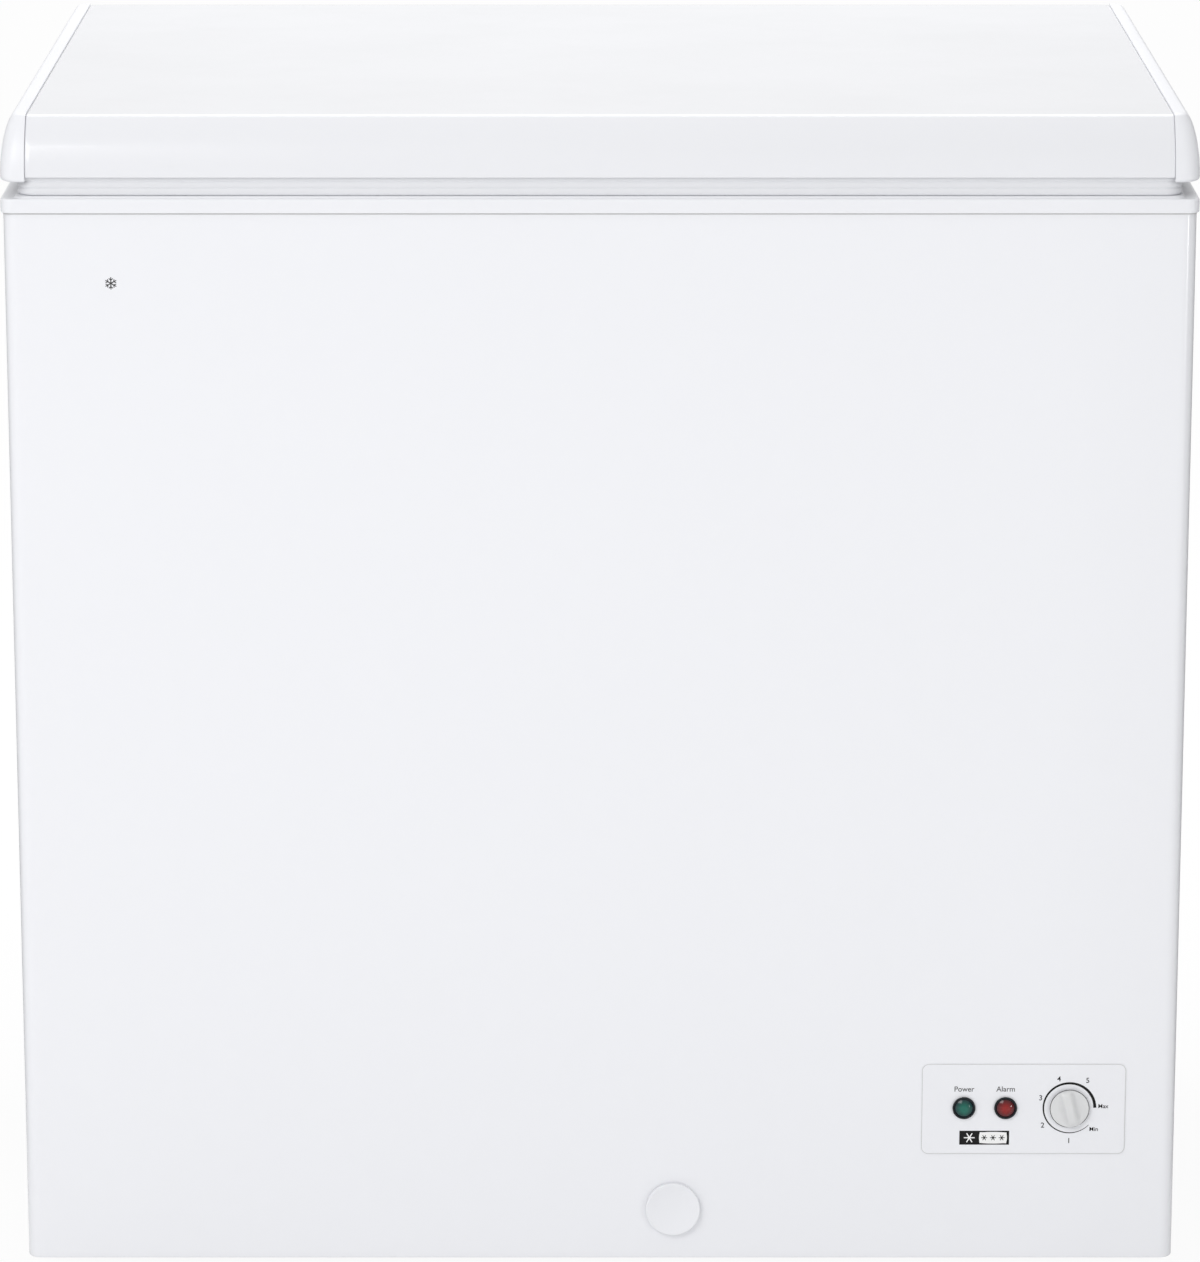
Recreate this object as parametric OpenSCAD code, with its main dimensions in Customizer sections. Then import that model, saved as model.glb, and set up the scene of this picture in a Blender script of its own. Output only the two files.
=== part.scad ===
// Chest freezer of about 190 litres: a foam-filled steel case with a tub, a hinged lid, a compressor bay at
// the lower right and a small control panel on the front. Millimetres, +Z up, front towards -Y.
// The origin is on the floor, at the centre of the overall width and depth.

/* [Overall] */
// Width over the lid and the collar
overall_w = 805; // [700:5:1000]
// Depth of the lid and the collar, without the hinges
case_d = 545; // [460:5:660]
// Height from the floor to the top of the lid's end caps
overall_h = 841; // [760:5:1020]

/* [Case] */
// Height of the case's lower edge above the floor
base_h = 34; // [28:1:44]
// Thickness of the insulated wall, from the collar's outer face to the tub
wall_t = 48; // [44:1:62]
// Thickness of the insulated floor
floor_t = 55; // [45:1:80]
// Thickness of the steel sheets
sheet_t = 0.8; // [0.6:0.1:1.2]
// Radius of the case's upright corners
case_r = 9; // [5:1:14]
// How far the case stands back from the collar
case_inset = 1.5; // [1:0.1:3]
// Width of the flange that closes the wrap round the back
wrap_flange = 16; // [10:1:24]

/* [Collar] */
// Height of the collar's outer band
collar_h = 10.5; // [8:0.5:16]
// Radius of the collar's corners
collar_r = 10; // [8:1:16]
// Width of the ledge between the band and the step, at the sides and the back
ledge_w = 10; // [6:1:11]
// Width of the ledge in front
ledge_front = 3; // [2.5:0.5:10]
// Height of the step that the seal rests on
step_h = 1.5; // [1:0.5:6]
// Wall thickness of the collar
collar_t = 2; // [1.6:0.1:3]

/* [Lid] */
// Height of the lid's end caps
lid_h = 44; // [40:1:62]
// Gap between the collar and the lid's end caps
lid_gap = 11; // [9:1:16]
// Width of one end cap
cap_w = 17; // [14:1:24]
// Width of the end cap's curved flank
cap_flank = 10; // [6:1:12]
// How far the end caps stand proud of the lid's skin
cap_proud = 1; // [0.5:0.1:2]
// How far the end caps hang below the lid's skin
cap_drop = 3; // [1:0.5:5]
// Wall thickness of the end caps
cap_t = 2.2; // [1.6:0.1:3]
// How far the lid's front edge leans back from bottom to top
front_lean = 17; // [10:1:24]
// Distance from the lid's edge to the seal, at the sides and the back
seal_in = 11; // [11:0.5:16]
// Distance from the lid's front edge to the seal
seal_front = 4; // [4:0.5:16]
// Width of the seal
seal_w = 13; // [9:1:16]
// Distance from the tub's wall to the bulge of the lid's inner panel
bulge_gap = 24; // [22:1:52]
// Depth of the bulge of the lid's inner panel
bulge_h = 18; // [8:1:22]
// Thickness of the lid's inner panel
panel_t = 1.2; // [1:0.1:2]

/* [Hinges] */
// How far the hinges stand behind the collar
hinge_proud = 24; // [24:1:28]
// Distance of each hinge from the centre
hinge_x = 250; // [150:5:300]
// Length of the hinge channel below its pin
hinge_len = 150; // [110:5:200]
// Inner width of the hinge channel
hinge_w = 32; // [28:1:40]
// Radius of the hinge pins
pin_r = 3; // [2.5:0.1:3.2]
// How far the lid opens, in degrees
lid_open = 80; // [60:1:85]
// Travel of the spring slider from closed to open
cam_lift = 5; // [3:0.5:5]

/* [Compressor bay] */
// Width of the bay, from the case's right side
bay_w = 236; // [225:1:280]
// Height of the bay above the case's lower edge
bay_h = 245; // [235:1:280]
// Diameter of the compressor's can
can_d = 150; // [130:1:156]
// Height of the compressor's can
can_h = 168; // [150:1:176]

/* [Control panel] */
// Width of the panel
panel_w = 142; // [138:1:160]
// Height of the panel
panel_h = 66; // [60:1:80]
// Distance from the panel to the case's right side
panel_right = 35; // [30:1:50]
// Distance from the panel to the case's lower edge
panel_up = 77; // [60:1:100]
// Diameter of the thermostat's knob
knob_d = 27; // [24:0.5:32]
// How far the knob stands proud of the collar
knob_proud = 7; // [7:0.5:16]
// Diameter of the lamp bezels
lamp_d = 16; // [14:0.5:20]

/* [Drain, feet and rollers] */
// Diameter of the drain's cap on the front
drain_cap_d = 38; // [34:1:46]
// Distance of the drain from the centre, to the right
drain_x = 51; // [0:1:70]
// Height of the drain's cap above the case's lower edge
drain_up = 37; // [34:1:40]
// Radius of the rollers
roller_r = 14; // [12:0.5:16]
// Distance of the feet and the rollers from the case's sides
foot_in = 60; // [45:1:70]
// Distance of the feet from the case's front
foot_back = 130; // [105:1:160]

/* [Basket] */
// Width of the basket, from left to right
basket_w = 220; // [180:1:260]
// Depth of the basket below its rim
basket_h = 180; // [120:1:220]
// Radius of the basket's wires
wire_r = 1.8; // [1.5:0.1:2.5]
// Radius of the basket's rim and hanger rods
rod_r = 2.6; // [2.2:0.1:3]

/* [Hidden] */
$fn = 48;

fit = 0.3;            // clearance between pieces that move or slide together
run_fit = 0.08;       // radial clearance of a shaft in its bore
eps = 0.01;
foam_gap = 0.05;      // between the foam and the sheets, so that round corners never cross
half_w = overall_w / 2;
y_front = (knob_proud - case_d - hinge_proud) / 2;
y_back = y_front + case_d;
y_mid = (y_front + y_back) / 2;
case_hw = half_w - case_inset;
case_y0 = y_front + case_inset;
case_y1 = y_back - case_inset;
lid_z0 = overall_h - lid_h;
collar_top = lid_z0 - lid_gap;
case_top = collar_top - collar_h;
seat_z = collar_top + step_h;
skin_z0 = lid_z0 + cap_drop;
skin_z1 = overall_h - cap_proud;
tub_hw = half_w - wall_t;
tub_y0 = y_front + wall_t;
tub_y1 = y_back - wall_t;
tub_z0 = base_h + floor_t;
tub_z1 = case_top;
tub_d = tub_y1 - tub_y0;
flange_z = skin_z0 + 2;               // plane of the lid's inner panel
bay_x = case_hw - bay_w;              // the bay's left wall
bay_z1 = base_h + bay_h;              // the bay's roof
hump_t = wall_t;                      // insulation over the bay
hump_x = bay_x - hump_t;
hump_z = bay_z1 + hump_t;
coil_r = 4;                           // evaporator tube
wall_coil_r = 2.4;                    // condenser tube
coil_gap = 2 * coil_r + fit;
wall_coil_gap = 2 * wall_coil_r + fit;
tub_r = 28;

// ---------- shapes used by several parts ----------

module round_rect(w, d, r) {
    union() {
        square([w - 2 * r, d], center = true);
        square([w, d - 2 * r], center = true);
        for (x = [-1, 1], y = [-1, 1]) translate([x * (w / 2 - r), y * (d / 2 - r)]) circle(r);
    }
}

// An upright block with round corners between two heights, centred on the case unless y is given.
module upright(w, d, r, z0, z1, y = y_mid) {
    translate([0, y, z0]) linear_extrude(z1 - z0) round_rect(w, d, r);
}

// A box given by its corners.
module block(x0, x1, y0, y1, z0, z1) {
    translate([x0, y0, z0]) cube([x1 - x0, y1 - y0, z1 - z0]);
}

// Turns an outline drawn as (y, z) into a solid from x0 to x1.
module across(x0, x1) {
    translate([x0, 0, 0]) rotate([90, 0, 90]) linear_extrude(x1 - x0) children();
}

// Turns an outline drawn as (x, z) into a solid from y0 to y1.
module along(y0, y1) {
    translate([0, y1, 0]) rotate([90, 0, 0]) linear_extrude(y1 - y0) children();
}

// A rod between two heights on an upright axis, or along X or Y.
module post(x, y, z0, z1, r) translate([x, y, z0]) cylinder(r = r, h = z1 - z0);
module rod_x(x0, x1, y, z, r) translate([x0, y, z]) rotate([0, 90, 0]) cylinder(r = r, h = x1 - x0);
module rod_y(x, y0, y1, z, r) translate([x, y0, z]) rotate([-90, 0, 0]) cylinder(r = r, h = y1 - y0);

function unit(v) = v / norm(v);

// Points of a polyline whose inner corners are rounded over a distance r.
function bent(p, r, steps = 4) = [
    p[0],
    for (i = [1:len(p) - 2])
        let (a = p[i] + unit(p[i - 1] - p[i]) * min(r, norm(p[i - 1] - p[i]) / 2.1),
             b = p[i] + unit(p[i + 1] - p[i]) * min(r, norm(p[i + 1] - p[i]) / 2.1))
        for (s = [0:steps]) let (t = s / steps) (1 - t) * (1 - t) * a + 2 * t * (1 - t) * p[i] + t * t * b,
    p[len(p) - 1]
];

function heading(p, i) = unit(p[min(i + 1, len(p) - 1)] - p[max(i - 1, 0)]);
function square_to(n, t) = unit(n - (n * t) * t);
function first_normal(t) = square_to(abs(t[2]) < 0.9 ? [0, 0, 1] : [1, 0, 0], t);

// One direction square to the path at each of its points, carried along without twist.
function normals(p, i = 0, list = []) =
    i == len(p) ? list
    : normals(p, i + 1, concat(list, [i == 0 ? first_normal(heading(p, 0))
                                             : square_to(list[i - 1], heading(p, i))]));

// A round tube of radius r along a path.
module tube(p, r, sides = 8) {
    n = normals(p);
    count = len(p);
    points = [for (i = [0:count - 1]) let (t = heading(p, i), b = cross(t, n[i]))
        for (k = [0:sides - 1]) p[i] + r * (cos(360 * k / sides) * n[i] + sin(360 * k / sides) * b)];
    walls = [for (i = [0:count - 2], k = [0:sides - 1]) let (m = (k + 1) % sides)
        each [[i * sides + k, (i + 1) * sides + k, (i + 1) * sides + m],
              [i * sides + k, (i + 1) * sides + m, i * sides + m]]];
    ends = [[for (k = [0:sides - 1]) k], [for (k = [sides - 1:-1:0]) (count - 1) * sides + k]];
    polyhedron(points, concat(walls, ends), convexity = 10);
}

// ---------- case ----------

wrap_w = 2 * case_hw;
wrap_d = case_y1 - case_y0;
inner_x = case_hw - sheet_t;          // inside of the wrap
inner_y0 = case_y0 + sheet_t;
back_y0 = case_y1 - 2 * sheet_t;      // inside of the rear panel
panel_x = case_hw - panel_right - panel_w / 2;
panel_z = base_h + panel_up + panel_h / 2;
panel_lip = 9;                        // how far the panel overlaps its cut-out
drain_z = base_h + drain_up;
drain_r = 7;                          // bore of the drain pipe
drain_wall = 2;
drain_y = tub_y0 + 60;
cover_lip = 12;                       // how far the bay's cover overlaps its opening
cover_x0 = bay_x + 20;
cover_x1 = case_hw - wrap_flange - 6;
cover_z0 = base_h + 14;
cover_z1 = bay_z1 - 20;
screw_r = 2;

module outer_wrap() {
    color("white")
    difference() {
        upright(wrap_w, wrap_d, case_r, base_h, case_top);
        upright(wrap_w - 2 * sheet_t, wrap_d - 2 * sheet_t, case_r - sheet_t, base_h - 1, case_top + 1);
        block(wrap_flange - case_hw, case_hw - wrap_flange, case_y1 - sheet_t - 1, case_y1 + 1,
              base_h - 1, case_top + 1);
        block(panel_x - panel_w / 2 + panel_lip, panel_x + panel_w / 2 - panel_lip, case_y0 - 1,
              inner_y0 + 1, panel_z - panel_h / 2 + panel_lip, panel_z + panel_h / 2 - panel_lip);
        rod_y(drain_x, case_y0 - 1, inner_y0 + 1, drain_z, drain_r + drain_wall + fit);
    }
}

// The room inside the wrap, less a fitting gap.
module inside_wrap() {
    upright(2 * (inner_x - fit), wrap_d - 2 * (sheet_t + fit / 2), case_r - sheet_t, base_h, case_top);
}

module hinge_screw_places() {
    for (side = [-1, 1], ear = [-1, 1], level = [0.25, 0.85])
        translate([side * hinge_x + ear * (hinge_w / 2 + 8), 0, pin_z - hinge_len * level]) children();
}

module cover_screw_places() {
    for (x = [cover_x0 + cover_lip / 2, cover_x1 - cover_lip / 2], z = [cover_z0 + 24, cover_z1 - 24])
        translate([x, case_y1 - sheet_t, z]) children();
}

module rear_panel() {
    color("gainsboro")
    difference() {
        intersection() {
            block(fit - inner_x, inner_x - fit, back_y0, case_y1 - sheet_t, base_h, case_top);
            inside_wrap();
        }
        hinge_screw_places() rod_y(0, back_y0 - 1, case_y1, 0, screw_r + 0.1);
        block(cover_x0 + cover_lip, cover_x1 - cover_lip, back_y0 - 1, case_y1, cover_z0 + cover_lip,
              cover_z1 - cover_lip);
        cover_screw_places() rod_y(0, -sheet_t - 1, 1, 0, screw_r + 0.1);
    }
}

// The floor sheet, folded up into the bay's inner wall and roof.
module base_pan() {
    color("silver")
    difference() {
        intersection() {
            along(inner_y0 + fit, back_y0 - fit) polygon([
                [fit - inner_x, base_h], [bay_x, base_h], [bay_x, bay_z1 - sheet_t],
                [inner_x - fit, bay_z1 - sheet_t], [inner_x - fit, bay_z1],
                [bay_x - sheet_t, bay_z1], [bay_x - sheet_t, base_h + sheet_t],
                [fit - inner_x, base_h + sheet_t]]);
            inside_wrap();
        }
        // way through for the pipes, the capillary and the sensor
        rod_x(bay_x - 3, bay_x + 3, pipe_y, suction_z, 2 * pipe_hole);
        rod_x(bay_x - 3, bay_x + 3, pipe_y, capillary_z, pipe_hole);
        rod_x(bay_x - 3, bay_x + 3, sensor_y, sensor_z, pipe_hole);
        for (y = [condenser_in_y, condenser_out_y])
            post(wall_coil_x, y, bay_z1 - 3, bay_z1 + 3, pipe_hole);
    }
}

module tub_volume(grow, top) {
    translate([0, y_mid, hump_z - grow])
        linear_extrude(top - hump_z + grow) round_rect(2 * (tub_hw + grow), tub_d + 2 * grow, tub_r + grow);
    translate([(hump_x - tub_hw) / 2, y_mid, tub_z0 - grow])
        linear_extrude(hump_z - tub_z0)
            round_rect(hump_x + tub_hw + 2 * grow, tub_d + 2 * grow, tub_r + grow);
}

tub_flange = 10;

module tub_liner() {
    color("whitesmoke")
    difference() {
        union() {
            tub_volume(sheet_t, tub_z1);
            upright(2 * (tub_hw + tub_flange), tub_d + 2 * tub_flange, tub_r + tub_flange,
                    tub_z1 - sheet_t, tub_z1);
        }
        tub_volume(0, tub_z1 + 1);
        post(drain_x, drain_y, tub_z0 - 2, tub_z0 + 1, drain_r);
    }
}

lip_h = 12;                           // how far the collar's lip hangs into the tub
step_w = 2 * (half_w - ledge_w);
step_d = case_d - ledge_w - ledge_front;
step_y = y_mid + (ledge_front - ledge_w) / 2;

// The space under the collar, which the insulation fills.
module collar_cavity() {
    difference() {
        union() {
            upright(2 * (half_w - collar_t), case_d - 2 * collar_t, collar_r - collar_t, case_top,
                    collar_top - collar_t);
            upright(step_w - 2 * collar_t, step_d - 2 * collar_t, collar_r, case_top, seat_z - collar_t,
                    step_y);
        }
        upright(2 * tub_hw, tub_d, tub_r, case_top - 1, seat_z);
    }
}

module top_collar() {
    color("white")
    difference() {
        union() {
            upright(2 * half_w, case_d, collar_r, case_top, collar_top);
            upright(step_w, step_d, collar_r, case_top, seat_z, step_y);
            upright(2 * tub_hw, tub_d, tub_r, case_top - lip_h, seat_z);
        }
        collar_cavity();
        upright(2 * (tub_hw - collar_t), tub_d - 2 * collar_t, tub_r - collar_t, case_top - lip_h - 1,
                seat_z + 1);
    }
}

// ---------- coils in the insulation ----------

// Condenser: level runs round the two sides and the front, joined by bends near the back.
wall_coil_x = inner_x - wall_coil_r - fit;
wall_coil_y = inner_y0 + wall_coil_r + fit;
wall_runs = 8;
wall_z0 = bay_z1 + 30;
wall_step = (case_top - 40 - wall_z0) / (wall_runs - 1);
wall_turn_y = back_y0 - 70;
condenser_in_y = wall_turn_y;
condenser_out_y = back_y0 - 40;
pipe_hole = 4;

function wall_run(z, back) =
    let (run = [[wall_coil_x, wall_turn_y, z], [wall_coil_x, wall_coil_y, z],
                [-wall_coil_x, wall_coil_y, z], [-wall_coil_x, wall_turn_y, z]])
    back ? [for (i = [3:-1:0]) run[i]] : run;

module condenser_coil() {
    top = wall_z0 + (wall_runs - 1) * wall_step;
    color("peru")
    tube(bent(concat(
        [[wall_coil_x, condenser_in_y, bay_z1 + 1]],
        [for (i = [0:wall_runs - 1]) each wall_run(wall_z0 + i * wall_step, i % 2 == 1)],
        [[wall_coil_x, wall_turn_y, top + 20], [wall_coil_x, condenser_out_y, top + 20],
         [wall_coil_x, condenser_out_y, bay_z1 + 1]]), 14, 3), wall_coil_r, 6);
}

// Evaporator: level rings round the tub, joined at the back by short climbing links.
ring_off = sheet_t + coil_r + fit;    // ring's centre line outside the tub's inner face
ring_y0 = tub_y0 - ring_off;
ring_y1 = tub_y1 + ring_off;
ring_x = 20;                          // where the rings start and end
ring_gap = 16;
low_rings = 3;
high_rings = 6;
low_step = (hump_z - tub_z0) / (low_rings + 0.5);
high_step = (tub_z1 - hump_z - 60) / (high_rings - 1);
pipe_y = ring_y1 + 2 * coil_r + 1;    // pipes that run behind the rings
coil_bend = tub_r + 4;
pipe_x = ring_x + 50;
suction_z = tub_z0 + 90;
capillary_z = suction_z - 30;
sensor_y = y_mid;
sensor_z = bay_z1 - 30;

function ring(z, x1) = [
    [ring_x + ring_gap, ring_y1, z], [x1 + ring_off, ring_y1, z], [x1 + ring_off, ring_y0, z],
    [-tub_hw - ring_off, ring_y0, z], [-tub_hw - ring_off, ring_y1, z], [ring_x - ring_gap, ring_y1, z]];
function low_ring_z(i) = tub_z0 + (i + 0.5) * low_step;
function high_ring_z(i) = hump_z + 25 + i * high_step;

module evaporator_coil() {
    top = high_ring_z(high_rings - 1);
    color("peru")
    tube(bent(concat(
        [for (i = [0:low_rings - 1]) each ring(low_ring_z(i), hump_x)],
        [for (i = [0:high_rings - 1]) each ring(high_ring_z(i), tub_hw)],
        [[ring_x - ring_gap, pipe_y, top + 14], [pipe_x, pipe_y, top + 14], [pipe_x, pipe_y, suction_z],
         [bay_x - 1, pipe_y, suction_z]]), coil_bend, 3), coil_r, 6);
}

// Grooves for the two coils.
module coil_grooves() {
    g = 2 * wall_coil_r + 2 * fit + 0.5;
    for (i = [0:wall_runs - 1]) {
        z = wall_z0 + i * wall_step;
        difference() {
            upright(wrap_w, wrap_d, case_r, z - g / 2, z + g / 2);
            upright(2 * (inner_x - g), wrap_d - 2 * (sheet_t + g), 14, z - g, z + g);
            block(-case_hw, case_hw, wall_turn_y, case_y1, z - g, z + g);
        }
    }
    for (side = [-1, 1])
        block(side * (inner_x - g / 2) - g / 2, side * (inner_x - g / 2) + g / 2, wall_turn_y - 20,
              condenser_out_y + g, side > 0 ? bay_z1 : wall_z0 - g, case_top - 15);
    r = 2 * coil_r + 2 * fit + 1;
    for (i = [0:low_rings - 1])
        translate([(hump_x - tub_hw) / 2, y_mid, low_ring_z(i) - r / 2]) linear_extrude(r)
            round_rect(hump_x + tub_hw + 2 * (r + sheet_t), tub_d + 2 * (r + sheet_t), tub_r + 3);
    for (i = [0:high_rings - 1])
        upright(2 * (tub_hw + r + sheet_t), tub_d + 2 * (r + sheet_t), tub_r + 3, high_ring_z(i) - r / 2,
                high_ring_z(i) + r / 2);
    block(ring_x - ring_gap - tub_r - 12, pipe_x + r, tub_y1, pipe_y + r, low_ring_z(0) - r,
          high_ring_z(high_rings - 1) + 26);
    block(ring_x, bay_x, ring_y1, pipe_y + r, capillary_z - r, suction_z + coil_bend + r);
    rod_x(hump_x, bay_x, sensor_y, sensor_z, pipe_hole);
}

module insulation() {
    color("khaki")
    difference() {
        union() {
            upright(2 * (inner_x - foam_gap), wrap_d - 2 * (sheet_t + foam_gap), case_r - sheet_t,
                    base_h + sheet_t, case_top);
            collar_cavity();
        }
        block(bay_x - sheet_t, case_hw, case_y0, case_y1, base_h, bay_z1);
        block(-case_hw, case_hw, back_y0, case_y1, base_h, case_top);
        tub_volume(sheet_t, case_top + 1);
        upright(2 * (tub_hw + tub_flange), tub_d + 2 * tub_flange, tub_r + tub_flange,
                tub_z1 - sheet_t, tub_z1);
        upright(2 * tub_hw, tub_d, tub_r, case_top - 1, seat_z);
        coil_grooves();
        drain_run(drain_r + drain_wall + foam_gap);
        hinge_screw_places() rod_y(0, back_y0 - 12, back_y0 + 1, 0, screw_r + 0.1);
    }
}

// ---------- drain ----------

module drain_run(r) {
    post(drain_x, drain_y, drain_z, tub_z0 - sheet_t, r);
    rod_y(drain_x, case_y0, drain_y, drain_z, r);
    translate([drain_x, drain_y, drain_z]) sphere(r);
}

module drain_pipe() {
    color("ivory")
    difference() {
        drain_run(drain_r + drain_wall);
        post(drain_x, drain_y, drain_z, tub_z0 + 1, drain_r);
        rod_y(drain_x, case_y0 - 1, drain_y, drain_z, drain_r);
        translate([drain_x, drain_y, drain_z]) sphere(drain_r);
    }
}

// Points a shape drawn up +Z out of the case's front.
module facing_front(x, z, y = case_y0) translate([x, y, z]) rotate([90, 0, 0]) children();

cap_plate = 4;                        // thickness of the drain cap

module drain_cap() {
    dish = 1.8;                       // depth of the dished face
    dish_r = drain_cap_d / 2 - 2;
    ball = (dish_r * dish_r + dish * dish) / (2 * dish);
    color("white")
    facing_front(drain_x, drain_z)
    difference() {
        union() {
            translate([0, 0, fit]) cylinder(d = drain_cap_d, h = cap_plate - fit);
            translate([0, 0, -18]) cylinder(r = drain_r - run_fit, h = 18 + cap_plate / 2);
        }
        translate([0, 0, cap_plate - dish + ball]) sphere(ball, $fn = 96);
        translate([0, 0, -19]) cylinder(r = drain_r - 2, h = 17);
    }
}

module tub_drain_plug() {
    color("white")
    translate([drain_x, drain_y, tub_z0]) {
        translate([0, 0, fit]) cylinder(r = drain_r + 8, h = 3);
        translate([0, 0, -10]) cylinder(r = drain_r - run_fit, h = 12);
        translate([-9, -1.5, 3]) cube([18, 3, 12]);
    }
}

// ---------- control panel ----------

plate_t = 1.2;                        // how far the panel's plate stands proud of the case
knob_dx = 32;                         // knob and lamps, from the panel's centre
power_dx = -41.5;
alarm_dx = -12.5;
control_dz = 1;
lamp_sleeve = lamp_d / 2 - 0.9;
lens_r = lamp_d / 2 - 1.7;
shaft_r = 3;
boss_r = 5;
box_depth = 60;                       // depth of the control box behind the front
knob_tilt = 14;                       // resting turn of the knob's ridge
body_back = 34;                       // depth of the thermostat's body

module on_panel(dx) {
    facing_front(panel_x + dx, panel_z + control_dz, case_y0 - plate_t) children();
}

module lamp_places() for (dx = [power_dx, alarm_dx]) on_panel(dx) children();

module control_panel() {
    color("white")
    difference() {
        facing_front(panel_x, panel_z) linear_extrude(plate_t) round_rect(panel_w, panel_h, 5);
        lamp_places() translate([0, 0, -plate_t - 1]) cylinder(r = lamp_sleeve + 0.1, h = plate_t + 2);
        on_panel(knob_dx) translate([0, 0, -plate_t - 1]) cylinder(r = boss_r + 0.1, h = plate_t + 2);
    }
}

module control_box() {
    w = panel_w - 2 * panel_lip + 6;
    h = panel_h - 2 * panel_lip + 6;
    color("dimgray")
    difference() {
        block(panel_x - w / 2, panel_x + w / 2, inner_y0, inner_y0 + box_depth, panel_z - h / 2,
              panel_z + h / 2);
        block(panel_x - w / 2 + 2, panel_x + w / 2 - 2, inner_y0 - 1, inner_y0 + box_depth - 2,
              panel_z - h / 2 + 2, panel_z + h / 2 - 2);
        rod_y(panel_x, inner_y0 + box_depth - 4, inner_y0 + box_depth + 1, panel_z - 12, loom_r + 1.5);
        rod_y(panel_x + knob_dx, inner_y0 + box_depth - 4, inner_y0 + box_depth + 1, panel_z + 8, 3);
    }
}

module lamp_bezels() {
    color("dimgray")
    lamp_places() difference() {
        union() {
            cylinder(d = lamp_d, h = 1);
            translate([0, 0, -10]) cylinder(r = lamp_sleeve, h = 10.5);
        }
        translate([0, 0, -11]) cylinder(r = lens_r + 0.1, h = 13);
    }
}

module lens() {
    rise = 2.2;
    ball = (lens_r * lens_r + rise * rise) / (2 * rise);
    translate([0, 0, -8]) cylinder(r = lens_r, h = 8.6);
    translate([0, 0, 0.6]) intersection() {
        cylinder(r = lens_r, h = rise + 1);
        translate([0, 0, rise - ball]) sphere(ball, $fn = 96);
    }
}

module power_lamp() color("limegreen") on_panel(power_dx) lens();
module alarm_lamp() color("red") on_panel(alarm_dx) lens();

module lamp_holders() {
    color("gray")
    lamp_places() {
        translate([0, 0, -22]) cylinder(r = lens_r, h = 14);
        for (x = [-3, 3]) translate([x - 1, -0.5, -30]) cube([2, 1, 9]);
    }
}

module thermostat_body() {
    color("silver")
    on_panel(knob_dx) difference() {
        union() {
            translate([-18, -15, -body_back]) cube([36, 30, body_back - plate_t - 1.4]);
            translate([0, 0, -plate_t - 5]) cylinder(r = boss_r, h = plate_t + 4);
        }
        translate([0, 0, -body_back + 6]) cylinder(r = shaft_r + run_fit, h = body_back + 4);
    }
}

knob_bore = 6.4;                      // how far the shaft's bore reaches into the knob

module thermostat_shaft() {
    color("silver")
    on_panel(knob_dx) translate([0, 0, knob_bore - 0.1 - body_back]) cylinder(r = shaft_r, h = body_back);
}

module thermostat_knob() {
    top = knob_proud + case_inset - plate_t;
    disc = 2.4;                       // height of the knob's flat disc
    color("ivory")
    on_panel(knob_dx) rotate([0, 0, knob_tilt]) difference() {
        union() {
            translate([0, 0, fit]) cylinder(d = knob_d, h = disc - fit);
            intersection() {
                translate([-3.5, -knob_d / 2, 1]) cube([7, knob_d, top - 1]);
                cylinder(d = knob_d - 1, h = top);
            }
        }
        translate([0, 0, -1]) cylinder(r = shaft_r, h = knob_bore + 1);
    }
}

module thermostat_sensor() {
    x = panel_x + knob_dx;
    color("peru")
    tube(bent([[x, case_y0 - plate_t + body_back, panel_z + 8], [x, inner_y0 + box_depth + 30, panel_z + 8],
               [bay_x + 40, sensor_y, sensor_z], [hump_x + sheet_t + 1, sensor_y, sensor_z]], 16, 3), 1.2, 6);
}

// ---------- compressor bay ----------

tray_t = 2;
tray_top = base_h + tray_t;
comp_x = (bay_x + case_hw) / 2 - 4;
comp_y = case_y1 - 155;
can_r = can_d / 2;
grommet_h = 16;
plate_h = 3;
can_z0 = tray_top + grommet_h + plate_h;
can_mid = can_z0 + 0.52 * can_h;
can_top = can_z0 + can_h;
can_t = 3;
leg_x = can_r + 2;
leg_y = can_r * 0.72;
bolt_r = 3;
stator_z0 = can_z0 + 18;
stator_h = 56;
block_h = 34;
crank_r = 8;
rotor_r = 30;
stator_r = can_r - 14;
relay_z = can_mid + 34;
relay_y = comp_y - can_r;
loom_r = 3;

module bay_tray() {
    color("silver")
    difference() {
        intersection() {
            union() {
                block(bay_x + fit, inner_x - fit, inner_y0 + fit, back_y0 - fit, base_h, tray_top);
                for (y = [inner_y0 + fit, back_y0 - fit - tray_t])
                    block(bay_x + fit, inner_x - fit, y, y + tray_t, base_h, base_h + 14);
            }
            inside_wrap();
        }
        leg_places() post(0, 0, base_h - 1, tray_top + 1, bolt_r);
    }
}

module leg_places() {
    for (x = [-1, 1], y = [-1, 1]) translate([comp_x + x * leg_x, comp_y + y * leg_y, 0]) children();
}

module compressor_grommets() {
    color("dimgray")
    leg_places() difference() {
        union() {
            post(0, 0, tray_top, tray_top + grommet_h, 8);
            post(0, 0, tray_top, tray_top + 4, 11);
        }
        post(0, 0, tray_top - 1, tray_top + grommet_h + 1, bolt_r + 0.2);
    }
}

module compressor_bolts() {
    color("silver")
    leg_places() {
        post(0, 0, base_h - 6, can_z0 + 6, bolt_r - 0.05);
        translate([0, 0, can_z0]) cylinder(r = 6, h = 4, $fn = 6);
        translate([0, 0, base_h - 4]) cylinder(r = 6, h = 4, $fn = 6);
    }
}

module compressor_foot_plate() {
    color("dimgray")
    difference() {
        block(comp_x - leg_x - 12, comp_x + leg_x + 12, comp_y - leg_y - 12, comp_y + leg_y + 12,
              can_z0 - plate_h, can_z0);
        leg_places() post(0, 0, can_z0 - plate_h - 1, can_z0 + 1, bolt_r);
    }
}

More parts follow.
